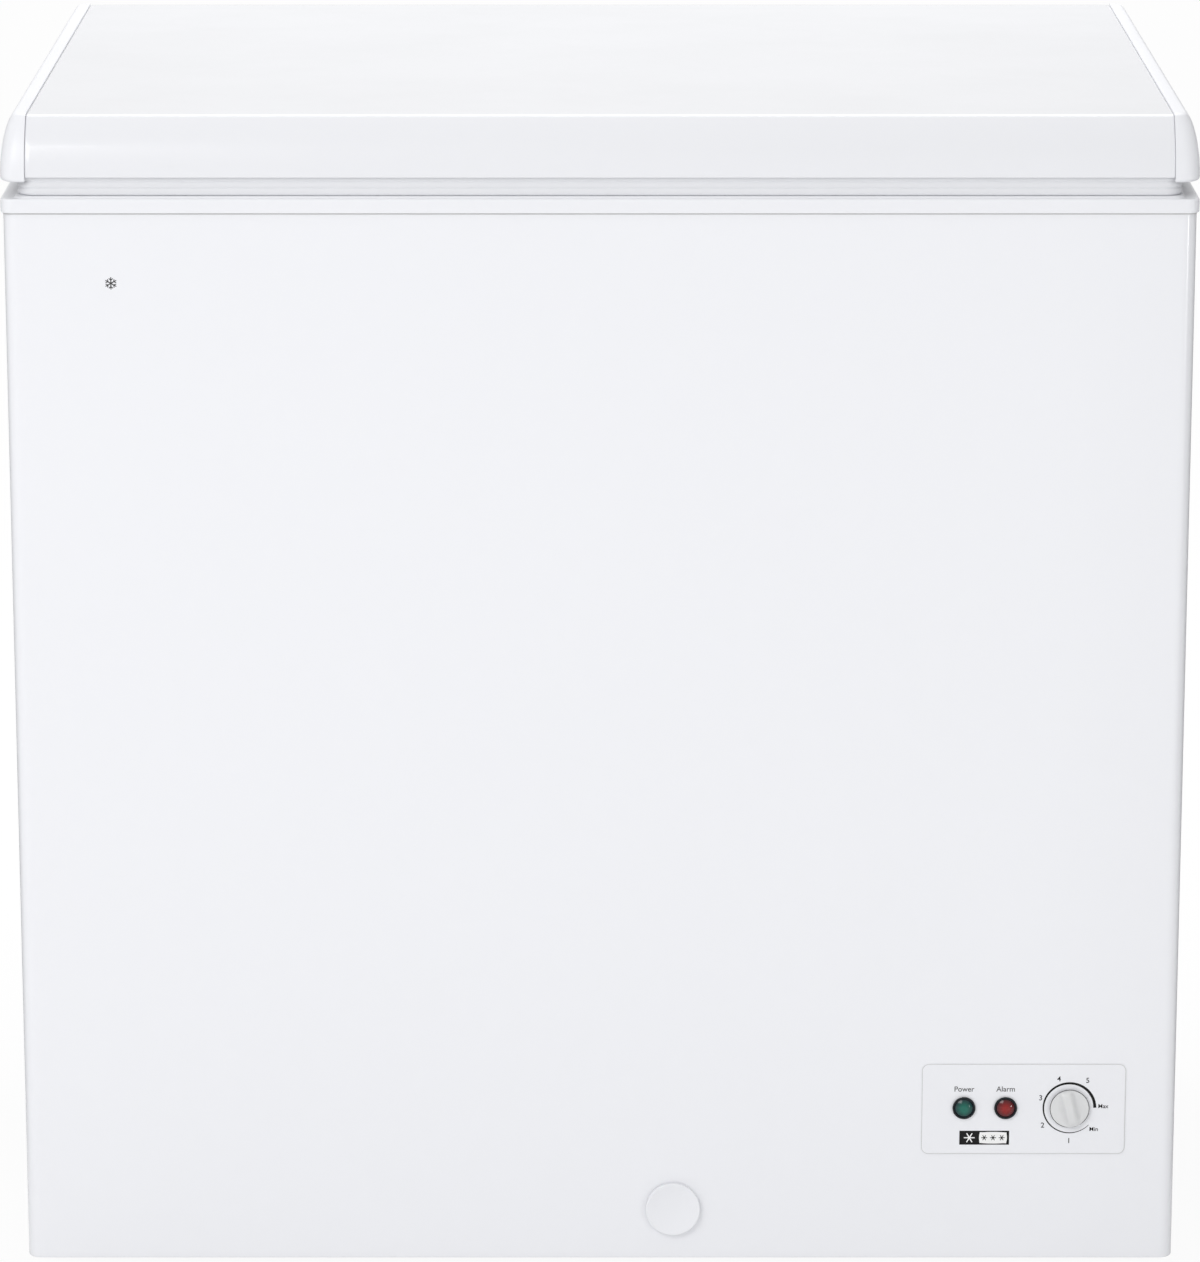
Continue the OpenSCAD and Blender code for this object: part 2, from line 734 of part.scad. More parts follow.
// Half outline of the can between its axis and its wall, with rounded ends.
function can_side(r, h, round) = concat(
    [[0, 0]], [for (a = [-90:15:0]) [r - round + round * cos(a), round + round * sin(a)]], [[r, h], [0, h]]);

module cup(h) {
    difference() {
        rotate_extrude() polygon(can_side(can_r, h, 24));
        translate([0, 0, can_t]) rotate_extrude() polygon(can_side(can_r - can_t, h, 21));
    }
}

module compressor_lower_can() {
    color([0.12, 0.12, 0.13])
    translate([comp_x, comp_y, can_z0]) {
        cup(can_mid - can_z0);
        for (a = [45:90:315]) rotate(a) translate([stator_r - 6, 0, can_t - eps])
            cylinder(r = 4, h = stator_z0 - can_z0 - can_t + eps);
    }
}

module compressor_upper_can() {
    color([0.12, 0.12, 0.13])
    translate([comp_x, comp_y, can_mid]) {
        translate([0, 0, can_top - can_mid]) mirror([0, 0, 1]) cup(can_top - can_mid);
        difference() {
            translate([0, 0, -6]) cylinder(r = can_r + 2.5, h = 12);
            translate([0, 0, -7]) cylinder(r = can_r, h = 14);
        }
    }
}

module motor_stator() {
    color("darkgray")
    difference() {
        post(comp_x, comp_y, stator_z0, stator_z0 + stator_h, stator_r);
        post(comp_x, comp_y, stator_z0 - 1, stator_z0 + stator_h + 1, rotor_r + 0.6);
    }
}

module motor_rotor() {
    color("silver")
    union() {
        post(comp_x, comp_y, stator_z0 + 4, stator_z0 + stator_h - 2, rotor_r);
        post(comp_x, comp_y, stator_z0 - 4, stator_z0 + stator_h + block_h + 6, crank_r);
    }
}

module cylinder_block() {
    z0 = stator_z0 + stator_h;
    color("slategray")
    difference() {
        union() {
            block(comp_x - 32, comp_x + 32, comp_y - 26, comp_y + 34, z0, z0 + block_h);
            rod_y(comp_x, comp_y - 50, comp_y - 26, z0 + block_h / 2, 15);
        }
        post(comp_x, comp_y, z0 - 1, z0 + block_h + 1, crank_r + run_fit);
        rod_y(comp_x, comp_y - 51, comp_y - 20, z0 + block_h / 2, 9);
        post(comp_x, comp_y, z0 - 1, z0 + 3, 12);
    }
}

module start_relay() {
    color("ivory")
    difference() {
        block(comp_x - 20, comp_x + 20, relay_y - 14, relay_y + 8, relay_z - 18, relay_z + 18);
        post(comp_x, comp_y, can_z0, can_top, can_r + 0.2);
    }
}

module relay_cover() {
    color([0.15, 0.15, 0.16])
    difference() {
        block(comp_x - 26, comp_x + 26, relay_y - 22, relay_y + 14, relay_z - 25, relay_z + 25);
        block(comp_x - 24, comp_x + 24, relay_y - 20, relay_y + 15, relay_z - 23, relay_z + 23);
        post(comp_x, comp_y, can_z0, can_top, can_r + 0.2);
        rod_y(comp_x - 12, relay_y - 24, relay_y - 18, relay_z, loom_r + 0.2);
    }
}

module suction_pipe() {
    z = can_top + 30;
    color("peru")
    tube(bent([[bay_x + 1, pipe_y, suction_z], [bay_x + 25, pipe_y, suction_z], [bay_x + 25, pipe_y, z],
               [comp_x - 30, comp_y + 25, z], [comp_x - 30, comp_y + 25, can_top]], 16, 3), coil_r, 8);
}

module discharge_pipe() {
    z = can_top + 24;
    color("peru")
    tube(bent([[comp_x + 20, comp_y - 20, can_top], [comp_x + 20, comp_y - 20, z],
               [wall_coil_x, condenser_in_y, z], [wall_coil_x, condenser_in_y, bay_z1 + 1]], 12, 3),
         wall_coil_r, 8);
}

module process_pipe() {
    color("peru")
    tube(bent([[comp_x - 20, comp_y - 30, can_top], [comp_x - 20, comp_y - 30, can_top + 14],
               [comp_x - 20, comp_y - 80, can_top + 20]], 12, 3), 3, 8);
}

drier_x = inner_x - 22;
drier_y = comp_y - can_r - 50;
drier_z0 = tray_top + 60;
drier_h = 90;

module filter_drier() {
    color("peru")
    translate([drier_x, drier_y, drier_z0]) rotate_extrude() polygon([
        [0, -16], [2, -16], [2, -8], [9, 0], [9, drier_h], [wall_coil_r, drier_h + 10],
        [wall_coil_r, drier_h + 16], [0, drier_h + 16]]);
}

// From the condenser's outlet to the drier, then a long thin coil, then through the bay's wall.
module capillary_tube() {
    turns = 3;
    coil_y = drier_y - 8;
    color("peru") {
        tube(bent([[wall_coil_x, condenser_out_y, bay_z1 + 1], [wall_coil_x, condenser_out_y, bay_z1 - 14],
                   [drier_x, condenser_out_y - 20, bay_z1 - 14], [drier_x, drier_y, bay_z1 - 14],
                   [drier_x, drier_y, drier_z0 + drier_h + 16]], 12, 3), wall_coil_r, 6);
        tube(concat([[drier_x, drier_y, drier_z0 - 16], [drier_x, drier_y, drier_z0 - 26]],
            [for (a = [0:30:360 * turns]) [drier_x - 40 + 40 * cos(a), coil_y + a / 90 - 3 + 30 * sin(a),
                                           drier_z0 - 36 + a / 90]],
            bent([[drier_x - 2, coil_y + 20, drier_z0 - 20], [bay_x + 20, coil_y + 60, drier_z0 - 20],
             [bay_x + 20, pipe_y, capillary_z], [bay_x - 1, pipe_y, capillary_z],
             [ring_x + ring_gap + 30, pipe_y, capillary_z]], 12, 3)), 1.2, 6);
    }
}

module wiring_loom() {
    color("black")
    tube(bent([[panel_x, inner_y0 + 40, panel_z - 12], [panel_x, inner_y0 + box_depth + 40, panel_z - 12],
               [comp_x - 12, relay_y - 60, relay_z], [comp_x - 12, relay_y - 15, relay_z]],
              20, 3), loom_r, 8);
}

louvre_pitch = 16;
gland_x = cover_x1 - 40;
gland_z = cover_z0 + 30;
gland_r = 9;

module bay_rear_cover() {
    y0 = case_y1 - sheet_t;
    t = 1.2;
    color("gainsboro")
    difference() {
        block(cover_x0, cover_x1, y0, y0 + t, cover_z0, cover_z1);
        for (z = [cover_z0 + 60:louvre_pitch:cover_z1 - 30], x = [0:2]) {
            w = (cover_x1 - cover_x0 - 60) / 3;
            x0 = cover_x0 + 20 + x * (w + 10);
            block(x0, x0 + w, y0 - 1, y0 + t + 1, z, z + 6);
        }
        rod_y(gland_x, y0 - 1, y0 + t + 1, gland_z, gland_r + 0.05);
        cover_screw_places() rod_y(0, -1, t + 1, 0, screw_r + 0.1);
    }
}

module screw_back() {
    rod_y(0, -8, 0.1, 0, screw_r);
    rod_y(0, 0, 1.6, 0, 2 * screw_r);
}

module bay_cover_screws() color("silver") cover_screw_places() translate([0, 1.2, 0]) screw_back();

module cord_gland() {
    y0 = case_y1 - sheet_t;
    color([0.1, 0.1, 0.1])
    difference() {
        union() {
            rod_y(gland_x, y0 - 8, y0 + 3, gland_z, gland_r);
            rod_y(gland_x, y0 + 1.2, y0 + 4, gland_z, gland_r + 3);
            rod_y(gland_x, y0 - 4, y0, gland_z, gland_r + 2);
        }
        rod_y(gland_x, y0 - 9, y0 + 5, gland_z, 4);
    }
}

// ---------- feet and rollers ----------

foot_x = case_hw - foot_in;
roller_y = case_y1 - 60;
roller_w = 24;
axle_r = 3;
ear_t = 2;

module front_feet() {
    color("dimgray")
    for (x = [-foot_x, foot_x]) {
        post(x, case_y0 + foot_back, 0, 12, 22);
        post(x, case_y0 + foot_back, 12, base_h, 12);
    }
}

module roller_brackets() {
    color("silver")
    for (x = [-foot_x, foot_x]) difference() {
        translate([x, roller_y, 0]) union() {
            translate([-24, -24, base_h - ear_t]) cube([48, 48, ear_t]);
            for (side = [-1, 1])
                translate([side * (roller_w / 2 + 1 + ear_t / 2) - ear_t / 2, -10, roller_r - 8])
                    cube([ear_t, 20, base_h - roller_r + 8 - ear_t / 2]);
        }
        rod_x(x - 30, x + 30, roller_y, roller_r, axle_r + 0.05);
    }
}

module roller_axles() {
    color("silver")
    for (x = [-foot_x, foot_x]) {
        rod_x(x - roller_w / 2 - 5, x + roller_w / 2 + 5, roller_y, roller_r, axle_r);
        for (end = [-1, 1]) rod_x(x + end * (roller_w / 2 + 4.5) - 1, x + end * (roller_w / 2 + 4.5) + 1,
                                  roller_y, roller_r, axle_r + 1.5);
    }
}

module roller(x) {
    color("dimgray")
    difference() {
        rod_x(x - roller_w / 2, x + roller_w / 2, roller_y, roller_r, roller_r);
        rod_x(x - roller_w, x + roller_w, roller_y, roller_r, axle_r + run_fit);
    }
}

module roller_left() roller(-foot_x);
module roller_right() roller(foot_x);

// ---------- basket ----------

basket_x = tub_hw - collar_t - basket_w / 2 - 30;
basket_gap = 14;                      // between the basket and the tub's collar
basket_y0 = tub_y0 + collar_t + basket_gap;
basket_y1 = tub_y1 - collar_t - basket_gap;
hook_z = seat_z + rod_r + fit;
rim_z = case_top - lip_h - 12;
floor_z = rim_z - basket_h;
long_wires = 7;
cross_wires = 13;

module wire_x(x0, x1, y, z)
    translate([x0, y, z]) rotate([0, 90, 0]) cylinder(r = wire_r, h = x1 - x0, $fn = 8);
module wire_y(x, y0, y1, z)
    translate([x, y0, z]) rotate([-90, 0, 0]) cylinder(r = wire_r, h = y1 - y0, $fn = 8);
module wire_z(x, y, z0, z1) translate([x, y, z0]) cylinder(r = wire_r, h = z1 - z0, $fn = 8);

module wire_basket() {
    x0 = basket_x - basket_w / 2;
    x1 = basket_x + basket_w / 2;
    lap = 0.6 * wire_r;
    color("whitesmoke")
    union() {
        for (i = [0:long_wires - 1]) {
            x = x0 + 2 + (basket_w - 4) * i / (long_wires - 1);
            wire_y(x, basket_y0 - wire_r, basket_y1 + wire_r, floor_z);
            for (y = [basket_y0, basket_y1]) wire_z(x, y, floor_z, rim_z);
        }
        for (i = [0:cross_wires - 1]) {
            y = basket_y0 + 20 + (basket_y1 - basket_y0 - 40) * i / (cross_wires - 1);
            wire_x(x0 - lap, x1 + lap, y, floor_z + lap);
            for (x = [x0 - lap, x1 + lap]) wire_z(x, y, floor_z - wire_r + lap, rim_z);
        }
        for (z = [rim_z, (rim_z + floor_z) / 2]) {
            for (y = [basket_y0 + lap, basket_y1 - lap]) wire_x(x0 - wire_r, x1 + wire_r, y, z);
            for (x = [x0, x1]) wire_y(x, basket_y0 - wire_r, basket_y1 + wire_r, z);
        }
        for (x = [basket_x - basket_w * 0.3, basket_x + basket_w * 0.3], side = [-1, 1]) {
            y = side < 0 ? basket_y0 : basket_y1;
            out = side < 0 ? tub_y0 - 8 : tub_y1 + 8;
            tube(bent([[x, y, floor_z], [x, y, hook_z], [x, out, hook_z]], 8, 4), rod_r, 8);
        }
    }
}

// ---------- lid ----------

crease = 4;
steps = 8;

// Outline of the lid seen from the side, as (y, z): g is the distance inwards from the outer face.
function lid_outline(g, z0, z1) = concat(
    [for (i = [0:steps]) let (t = i / steps)
        [y_front + g + front_lean * t * t, z0 + (z1 - g - crease / 2 - z0) * t]],
    [[y_front + g + front_lean + crease * 0.4, z1 - g - crease / 8],
     [y_front + g + front_lean + crease, z1 - g],
     [y_back - g - crease, z1 - g], [y_back - g - crease * 0.3, z1 - g - crease * 0.3],
     [y_back - g, z1 - g - crease], [y_back - g, z0]]);

// Outline of the right-hand end cap seen from the front, as (x, z), from the seam outwards.
function flank_outline(g, z0, z1) = concat(
    [[half_w - cap_w - 1, z0], [half_w - g - 3, z0], [half_w - g - 0.8, z0 + 1]],
    [for (i = [0:steps]) let (t = i / steps)
        [half_w - g - cap_flank * t * t, z0 + 5 + (z1 - g - 6.5 - z0) * t]],
    [[half_w - g - cap_flank - 1, z1 - g - 0.4], [half_w - g - cap_flank - 3, z1 - g],
     [half_w - cap_w - 1, z1 - g]]);

skin_x = half_w - cap_w;              // where the skin meets the end caps
hem_w = 8;                            // width of the skin's turned-in lower edge
hem_y0 = y_front + cap_proud + sheet_t / 2;
hem_front = min(hem_w, y_front + seal_front - fit - hem_y0);

module lid_skin() {
    color("white")
    difference() {
        union() {
            across(-skin_x, skin_x) difference() {
                polygon(lid_outline(cap_proud, skin_z0, skin_z1 + cap_proud));
                polygon(lid_outline(cap_proud + sheet_t, skin_z0 - 1, skin_z1 + cap_proud));
            }
            block(-skin_x, skin_x, hem_y0, hem_y0 + hem_front, skin_z0, skin_z0 + sheet_t);
            block(-skin_x, skin_x, y_back - cap_proud - sheet_t / 2 - hem_w, y_back - cap_proud - sheet_t / 2,
                  skin_z0, skin_z0 + sheet_t);
        }
        arm_screw_wells();
    }
}

// Holes for the screws of the hinge arms.
module arm_screw_wells() {
    hinge_places() arm_screw_places() rod_y(0, y_back - 12, y_back + 1, 0, screw_r + 0.1);
}

module cap_solid(g, z0) {
    intersection() {
        across(half_w - cap_w - 1, half_w) polygon(lid_outline(g, z0, overall_h));
        along(y_front, y_back) polygon(flank_outline(g, z0, overall_h));
        translate([0, y_mid, lid_z0 - 2]) linear_extrude(lid_h + 4)
            round_rect(2 * half_w - 2 * g, case_d - 2 * g, collar_r + 2);
    }
}

module cap_right() {
    difference() {
        cap_solid(0, lid_z0);
        cap_solid(cap_t, lid_z0 - 1);
        block(half_w - cap_w - 2, half_w - cap_w, y_front - 1, y_back + 1, lid_z0 - 1, overall_h + 1);
    }
}

module lid_cap_right() color("white") cap_right();
module lid_cap_left() color("white") mirror([1, 0, 0]) cap_right();

bulge_w = 2 * (tub_hw - bulge_gap);
bulge_d = tub_d - 2 * bulge_gap;
bulge_r = 40;
flange_in = cap_t + cap_proud + 0.5;

module lid_inner_panel() {
    color("whitesmoke")
    difference() {
        union() {
            upright(2 * (half_w - flange_in), case_d - 2 * flange_in, collar_r, flange_z, flange_z + panel_t);
            upright(bulge_w, bulge_d, bulge_r, flange_z - bulge_h, flange_z + panel_t);
        }
        upright(bulge_w - 2 * panel_t, bulge_d - 2 * panel_t, bulge_r - panel_t, flange_z - bulge_h + panel_t,
                flange_z + panel_t + 1);
    }
}

module lid_insulation() {
    z0 = flange_z + panel_t;
    color("khaki")
    difference() {
        union() {
            intersection() {
                across(-skin_x, skin_x)
                    polygon(lid_outline(cap_proud + sheet_t + foam_gap, skin_z0 - 1, skin_z1 + cap_proud));
                upright(2 * (half_w - flange_in), case_d - 2 * flange_in, collar_r, z0, overall_h);
            }
            upright(bulge_w - 2 * (panel_t + foam_gap), bulge_d - 2 * (panel_t + foam_gap), bulge_r - panel_t,
                    flange_z - bulge_h + panel_t, z0 + 1);
        }
        arm_screw_wells();
    }
}

// A level ring of the seal between two heights, set in from the seal's two sides.
module seal_ring(inset, z0, z1) {
    inner = seal_w - inset;
    w = 2 * (half_w - seal_in);
    d = case_d - seal_in - seal_front;
    y = y_mid + (seal_front - seal_in) / 2;
    difference() {
        upright(w - 2 * inset, d - 2 * inset, 12, z0, z1, y);
        upright(w - 2 * inner, d - 2 * inner, 10, z0 - 1, z1 + 1, y);
    }
}

module lid_seal() {
    z0 = seat_z + fit;
    h = flange_z - z0;
    color("whitesmoke")
    union() {
        seal_ring(0, z0, z0 + 0.3 * h);
        seal_ring(seal_w * 0.2, z0 + 0.3 * h - eps, z0 + 0.7 * h + eps);
        seal_ring(0, z0 + 0.7 * h, flange_z);
    }
}

// ---------- hinges ----------

pin_back = hinge_proud - 11;          // how far the pins lie behind the collar
pin_y = y_back + pin_back;
pin_z = lid_z0 + 8;
ear_r = 9;
hat_t = 1.5;
cam_r0 = 11;
boss_hinge = pin_r + 3;
arm_w = hinge_w - 2 * hat_t - 6;
slider_r = 7.5;
slider_h = 22;
spring_r = 5.5;
spring_wire = 1.1;
spring_turns = 8;
spring_z0 = pin_z - hinge_len + hat_t;
slider_top = pin_z - cam_r0 - fit;
spring_z1 = slider_top - slider_h;
hat_y1 = y_back + hinge_proud;

module hinge_places() for (side = [-1, 1]) translate([side * hinge_x, 0, 0]) children();

module hinge_channels() {
    z0 = pin_z - hinge_len;
    top = collar_top - collar_h - 1;
    color("silver")
    hinge_places() difference() {
        union() {
            for (side = [-1, 1]) {
                x = side * (hinge_w / 2 - hat_t / 2);
                across(x - hat_t / 2, x + hat_t / 2) polygon([
                    [case_y1, z0], [hat_y1, z0], [hat_y1, pin_z - 14], [pin_y + ear_r, pin_z - 4],
                    [pin_y + ear_r, pin_z], [pin_y - ear_r, pin_z], [pin_y - ear_r, top + 4],
                    [y_back + 1, top + 4], [y_back + 1, top], [case_y1, top]]);
                rod_x(x - hat_t / 2, x + hat_t / 2, pin_y, pin_z, ear_r);
                wing = side * (hinge_w / 2 + 8);
                block(wing - 8 - hat_t / 2, wing + 8, case_y1, case_y1 + hat_t, z0, top);
            }
            block(-hinge_w / 2, hinge_w / 2, hat_y1 - hat_t, hat_y1, z0, pin_z - 20);
            block(-hinge_w / 2, hinge_w / 2, case_y1, hat_y1, z0, z0 + hat_t);
        }
        rod_x(-hinge_w, hinge_w, pin_y, pin_z, pin_r + 0.05);
        block(-arm_w / 2 - 2, arm_w / 2 + 2, y_back - 5, hat_y1 - hat_t, z0 + hat_t, pin_z + 20);
        translate([0, 0, -pin_z]) for (ear = [-1, 1], level = [0.25, 0.85])
            rod_y(ear * (hinge_w / 2 + 8), case_y1 - 1, case_y1 + 3, 2 * pin_z - hinge_len * level,
                  screw_r + 0.1);
    }
}

module hinge_pins() {
    color("silver")
    hinge_places() {
        rod_x(-hinge_w / 2 - 3, hinge_w / 2 + 3, pin_y, pin_z, pin_r);
        for (end = [-1, 1]) rod_x(end * (hinge_w / 2 + 2) - 1.5, end * (hinge_w / 2 + 2) + 1.5, pin_y, pin_z,
                                  pin_r + 1.5);
    }
}

module hinge_springs() {
    h = spring_z1 - spring_z0 - 2 * spring_wire - 0.2;
    last = 360 * spring_turns;
    color("dimgray")
    hinge_places()
        tube([for (a = [0:45:last]) [spring_r * cos(a), pin_y + spring_r * sin(a),
                                     spring_z0 + spring_wire + 0.1 + h * a / last]], spring_wire, 6);
}

// The slider's nose rides on the arm's cam, straight below the pin.
module hinge_sliders() {
    color("ivory")
    hinge_places() union() {
        post(0, pin_y, spring_z1, slider_top - 6, slider_r);
        across(-5, 5) polygon([[pin_y - 5, slider_top - 7], [pin_y + 5, slider_top - 7],
                               [pin_y + 0.4, slider_top], [pin_y - 0.4, slider_top]]);
        post(0, pin_y, spring_z1 - 12, spring_z1, spring_r - spring_wire - 0.8);
    }
}

// Cam whose radius falls evenly with the lid's angle, so the slider follows it in proportion.
function cam_points() = [for (i = [0:16]) let (a = lid_open * i / 16, r = cam_r0 - cam_lift * i / 16)
    [pin_y + r * sin(a), pin_z - r * cos(a)]];

module hinge_arms() {
    plate_y = y_back - cap_proud;
    color("silver")
    hinge_places() difference() {
        union() {
            across(-arm_w / 2, arm_w / 2) polygon(concat(
                [[pin_y, pin_z], [pin_y, pin_z + boss_hinge], [plate_y + hat_t, pin_z + boss_hinge + 4],
                 [plate_y + hat_t, pin_z - 4]], cam_points()));
            rod_x(-arm_w / 2, arm_w / 2, pin_y, pin_z, boss_hinge);
            block(-hinge_w / 2 - 14, hinge_w / 2 + 14, plate_y, plate_y + hat_t, skin_z0 + 1, skin_z1 - 8);
        }
        rod_x(-arm_w, arm_w, pin_y, pin_z, pin_r + run_fit);
        arm_screw_places() rod_y(0, plate_y - 1, plate_y + 3, 0, screw_r + 0.1);
    }
}

module arm_screw_places() {
    for (x = [-1, 1], z = [skin_z0 + 10, skin_z1 - 16])
        translate([x * (hinge_w / 2 + 6), 0, z]) children();
}

module arm_screws() {
    color("silver")
    hinge_places() arm_screw_places() translate([0, y_back - cap_proud + hat_t, 0]) screw_back();
}

module channel_screws() {
    color("silver") hinge_screw_places() translate([0, case_y1 + hat_t, 0]) screw_back();
}

outer_wrap();
rear_panel();
base_pan();
insulation();
tub_liner();
top_collar();
evaporator_coil();
condenser_coil();
bay_tray();
bay_rear_cover();
bay_cover_screws();
cord_gland();
compressor_lower_can();
compressor_upper_can();
compressor_foot_plate();
compressor_grommets();
compressor_bolts();
motor_stator();
motor_rotor();
cylinder_block();
start_relay();
relay_cover();
discharge_pipe();
suction_pipe();
process_pipe();
filter_drier();
capillary_tube();
control_box();
control_panel();
lamp_bezels();
power_lamp();
alarm_lamp();
lamp_holders();
thermostat_body();
thermostat_shaft();
thermostat_knob();
thermostat_sensor();
wiring_loom();
drain_pipe();
drain_cap();
tub_drain_plug();
front_feet();
roller_brackets();
roller_axles();
roller_left();
roller_right();
wire_basket();
lid_skin();
lid_cap_left();
lid_cap_right();
lid_insulation();
lid_inner_panel();
lid_seal();
hinge_channels();
hinge_pins();
hinge_springs();
hinge_sliders();
hinge_arms();
channel_screws();
arm_screws();
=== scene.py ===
import math

import bmesh
import bpy
from mathutils import Matrix, Vector


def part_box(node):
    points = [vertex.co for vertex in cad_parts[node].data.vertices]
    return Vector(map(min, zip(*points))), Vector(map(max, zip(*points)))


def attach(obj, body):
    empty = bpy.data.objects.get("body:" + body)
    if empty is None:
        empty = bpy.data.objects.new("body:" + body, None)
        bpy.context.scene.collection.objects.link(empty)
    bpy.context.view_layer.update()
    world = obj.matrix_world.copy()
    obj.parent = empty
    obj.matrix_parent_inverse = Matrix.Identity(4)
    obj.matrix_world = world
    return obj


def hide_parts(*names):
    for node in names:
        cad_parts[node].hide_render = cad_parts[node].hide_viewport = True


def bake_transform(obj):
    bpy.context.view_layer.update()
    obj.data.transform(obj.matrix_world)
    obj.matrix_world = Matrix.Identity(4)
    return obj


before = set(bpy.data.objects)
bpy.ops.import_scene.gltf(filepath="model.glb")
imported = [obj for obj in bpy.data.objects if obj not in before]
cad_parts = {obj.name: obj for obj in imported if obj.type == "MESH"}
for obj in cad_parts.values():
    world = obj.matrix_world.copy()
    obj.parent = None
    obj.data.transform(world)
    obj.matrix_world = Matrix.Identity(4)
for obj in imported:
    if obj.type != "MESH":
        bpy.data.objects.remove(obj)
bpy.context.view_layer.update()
scene = bpy.context.scene
print("freezer: frame loaded,", len(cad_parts), "nodes")


# Node boxes that everything is placed from
wrapLo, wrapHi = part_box("outer_wrap")
collarLo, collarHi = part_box("top_collar")
skinLo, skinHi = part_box("lid_skin")
capLo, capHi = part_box("lid_cap_right")
sealLo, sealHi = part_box("lid_seal")
linerLo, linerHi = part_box("lid_inner_panel")
panelLo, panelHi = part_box("control_panel")
midY = (collarLo.y + collarHi.y) / 2


def middle(lo, hi):  # of a box, seen from the front
    return (lo.x + hi.x) / 2, (lo.z + hi.z) / 2


def cosDeg(angle):
    return math.cos(math.radians(angle))


def sinDeg(angle):
    return math.sin(math.radians(angle))


def makeGroup(name, inputs, output):
    group = bpy.data.node_groups.new(name, "ShaderNodeTree")
    for label, value in inputs.items():
        socket = group.interface.new_socket(label, in_out="INPUT", socket_type="NodeSocketFloat")
        socket.default_value = value
    group.interface.new_socket(output, in_out="OUTPUT", socket_type="NodeSocketFloat")
    return group, group.nodes.new("NodeGroupInput"), group.nodes.new("NodeGroupOutput")


def addNode(tree, kind, values=None, **settings):  # values go to the node's own inputs
    node = tree.nodes.new(kind)
    for key, value in settings.items():
        setattr(node, key, value)
    for socket, value in (values or {}).items():
        node.inputs[socket].default_value = value
    return node


def addLinks(tree, *links):  # each link is (node, output, node, input)
    for source, output, target, socket in links:
        tree.links.new(source.outputs[output], target.inputs[socket])


def makeUnevenGroup():  # slow change in gloss, as on any sprayed or moulded face
    group, start, end = makeGroup("Uneven Gloss", {"Scale": 6.0, "Low": 0.25, "High": 0.35}, "Value")
    coords = addNode(group, "ShaderNodeTexCoord")
    noise = addNode(group, "ShaderNodeTexNoise", {"Detail": 4.0})
    spread = addNode(group, "ShaderNodeMapRange", {"From Min": 0.3, "From Max": 0.7})
    addLinks(group, (coords, "Object", noise, "Vector"), (start, "Scale", noise, "Scale"),
             (noise, "Fac", spread, "Value"), (start, "Low", spread, "To Min"),
             (start, "High", spread, "To Max"), (spread, "Result", end, "Value"))
    return group


def makeGrainGroup():  # fine relief: orange peel on paint, spark grain on mouldings
    group, start, end = makeGroup("Fine Grain", {"Scale": 900.0, "Coarse Scale": 60.0, "Coarse Share": 0.3},
                                  "Height")
    coords = addNode(group, "ShaderNodeTexCoord")
    fine = addNode(group, "ShaderNodeTexNoise", {"Detail": 2.0})
    coarse = addNode(group, "ShaderNodeTexNoise", {"Detail": 2.0})
    mix = addNode(group, "ShaderNodeMix")
    addLinks(group, (coords, "Object", fine, "Vector"), (start, "Scale", fine, "Scale"),
             (coords, "Object", coarse, "Vector"), (start, "Coarse Scale", coarse, "Scale"),
             (start, "Coarse Share", mix, 0), (fine, "Fac", mix, 2), (coarse, "Fac", mix, 3),
             (mix, 0, end, "Height"))
    return group


def makeDustGroup():  # dust that settles on faces that look up
    group, start, end = makeGroup("Settled Dust", {"Amount": 0.1, "Scale": 30.0}, "Mask")
    coords = addNode(group, "ShaderNodeTexCoord")
    facing = addNode(group, "ShaderNodeNewGeometry")
    split = addNode(group, "ShaderNodeSeparateXYZ")
    noise = addNode(group, "ShaderNodeTexNoise", {"Detail": 6.0})
    upward = addNode(group, "ShaderNodeMapRange", {"From Min": 0.2})
    patchy = addNode(group, "ShaderNodeMath", operation="MULTIPLY")
    amount = addNode(group, "ShaderNodeMath", operation="MULTIPLY", use_clamp=True)
    addLinks(group, (coords, "Object", noise, "Vector"), (start, "Scale", noise, "Scale"),
             (facing, "Normal", split, 0), (split, "Z", upward, "Value"),
             (upward, "Result", patchy, 0), (noise, "Fac", patchy, 1),
             (patchy, 0, amount, 0), (start, "Amount", amount, 1), (amount, 0, end, "Mask"))
    return group


def makeScuffGroup():  # short fine scratches, stretched one way
    group, start, end = makeGroup("Hairline Scuffs", {"Scale": 40.0, "Stretch": 30.0, "Cut": 0.62}, "Mask")
    coords = addNode(group, "ShaderNodeTexCoord")
    join = addNode(group, "ShaderNodeCombineXYZ", {"X": 1.0, "Z": 1.0})
    scale = addNode(group, "ShaderNodeVectorMath", operation="MULTIPLY")
    noise = addNode(group, "ShaderNodeTexNoise", {"Detail": 5.0})
    step = addNode(group, "ShaderNodeMapRange", {"From Max": 1.0})
    addLinks(group, (coords, "Object", scale, 0), (start, "Stretch", join, "Y"), (join, 0, scale, 1),
             (scale, 0, noise, "Vector"), (start, "Scale", noise, "Scale"), (noise, "Fac", step, "Value"),
             (start, "Cut", step, "From Min"), (step, "Result", end, "Mask"))
    return group


groups = {"uneven": makeUnevenGroup(), "grain": makeGrainGroup(), "dust": makeDustGroup(),
          "scuff": makeScuffGroup()}
usualLook = {
    "metallic": 0.0, "specular": 0.5, "coat": 0.0, "coatRoughness": 0.05, "subsurface": 0.0, "tintScale": 5.0,
    "dust": 0.05, "dustScale": 30.0, "dustColour": (0.62, 0.6, 0.57, 1.0), "glossScale": 7.0,
    "scuffScale": 25.0, "scuffCut": 0.7, "scuffRough": 0.1, "grainScale": 900.0, "coarseScale": 60.0,
    "coarseShare": 0.3, "bump": 0.05, "bumpDepth": 0.0004}


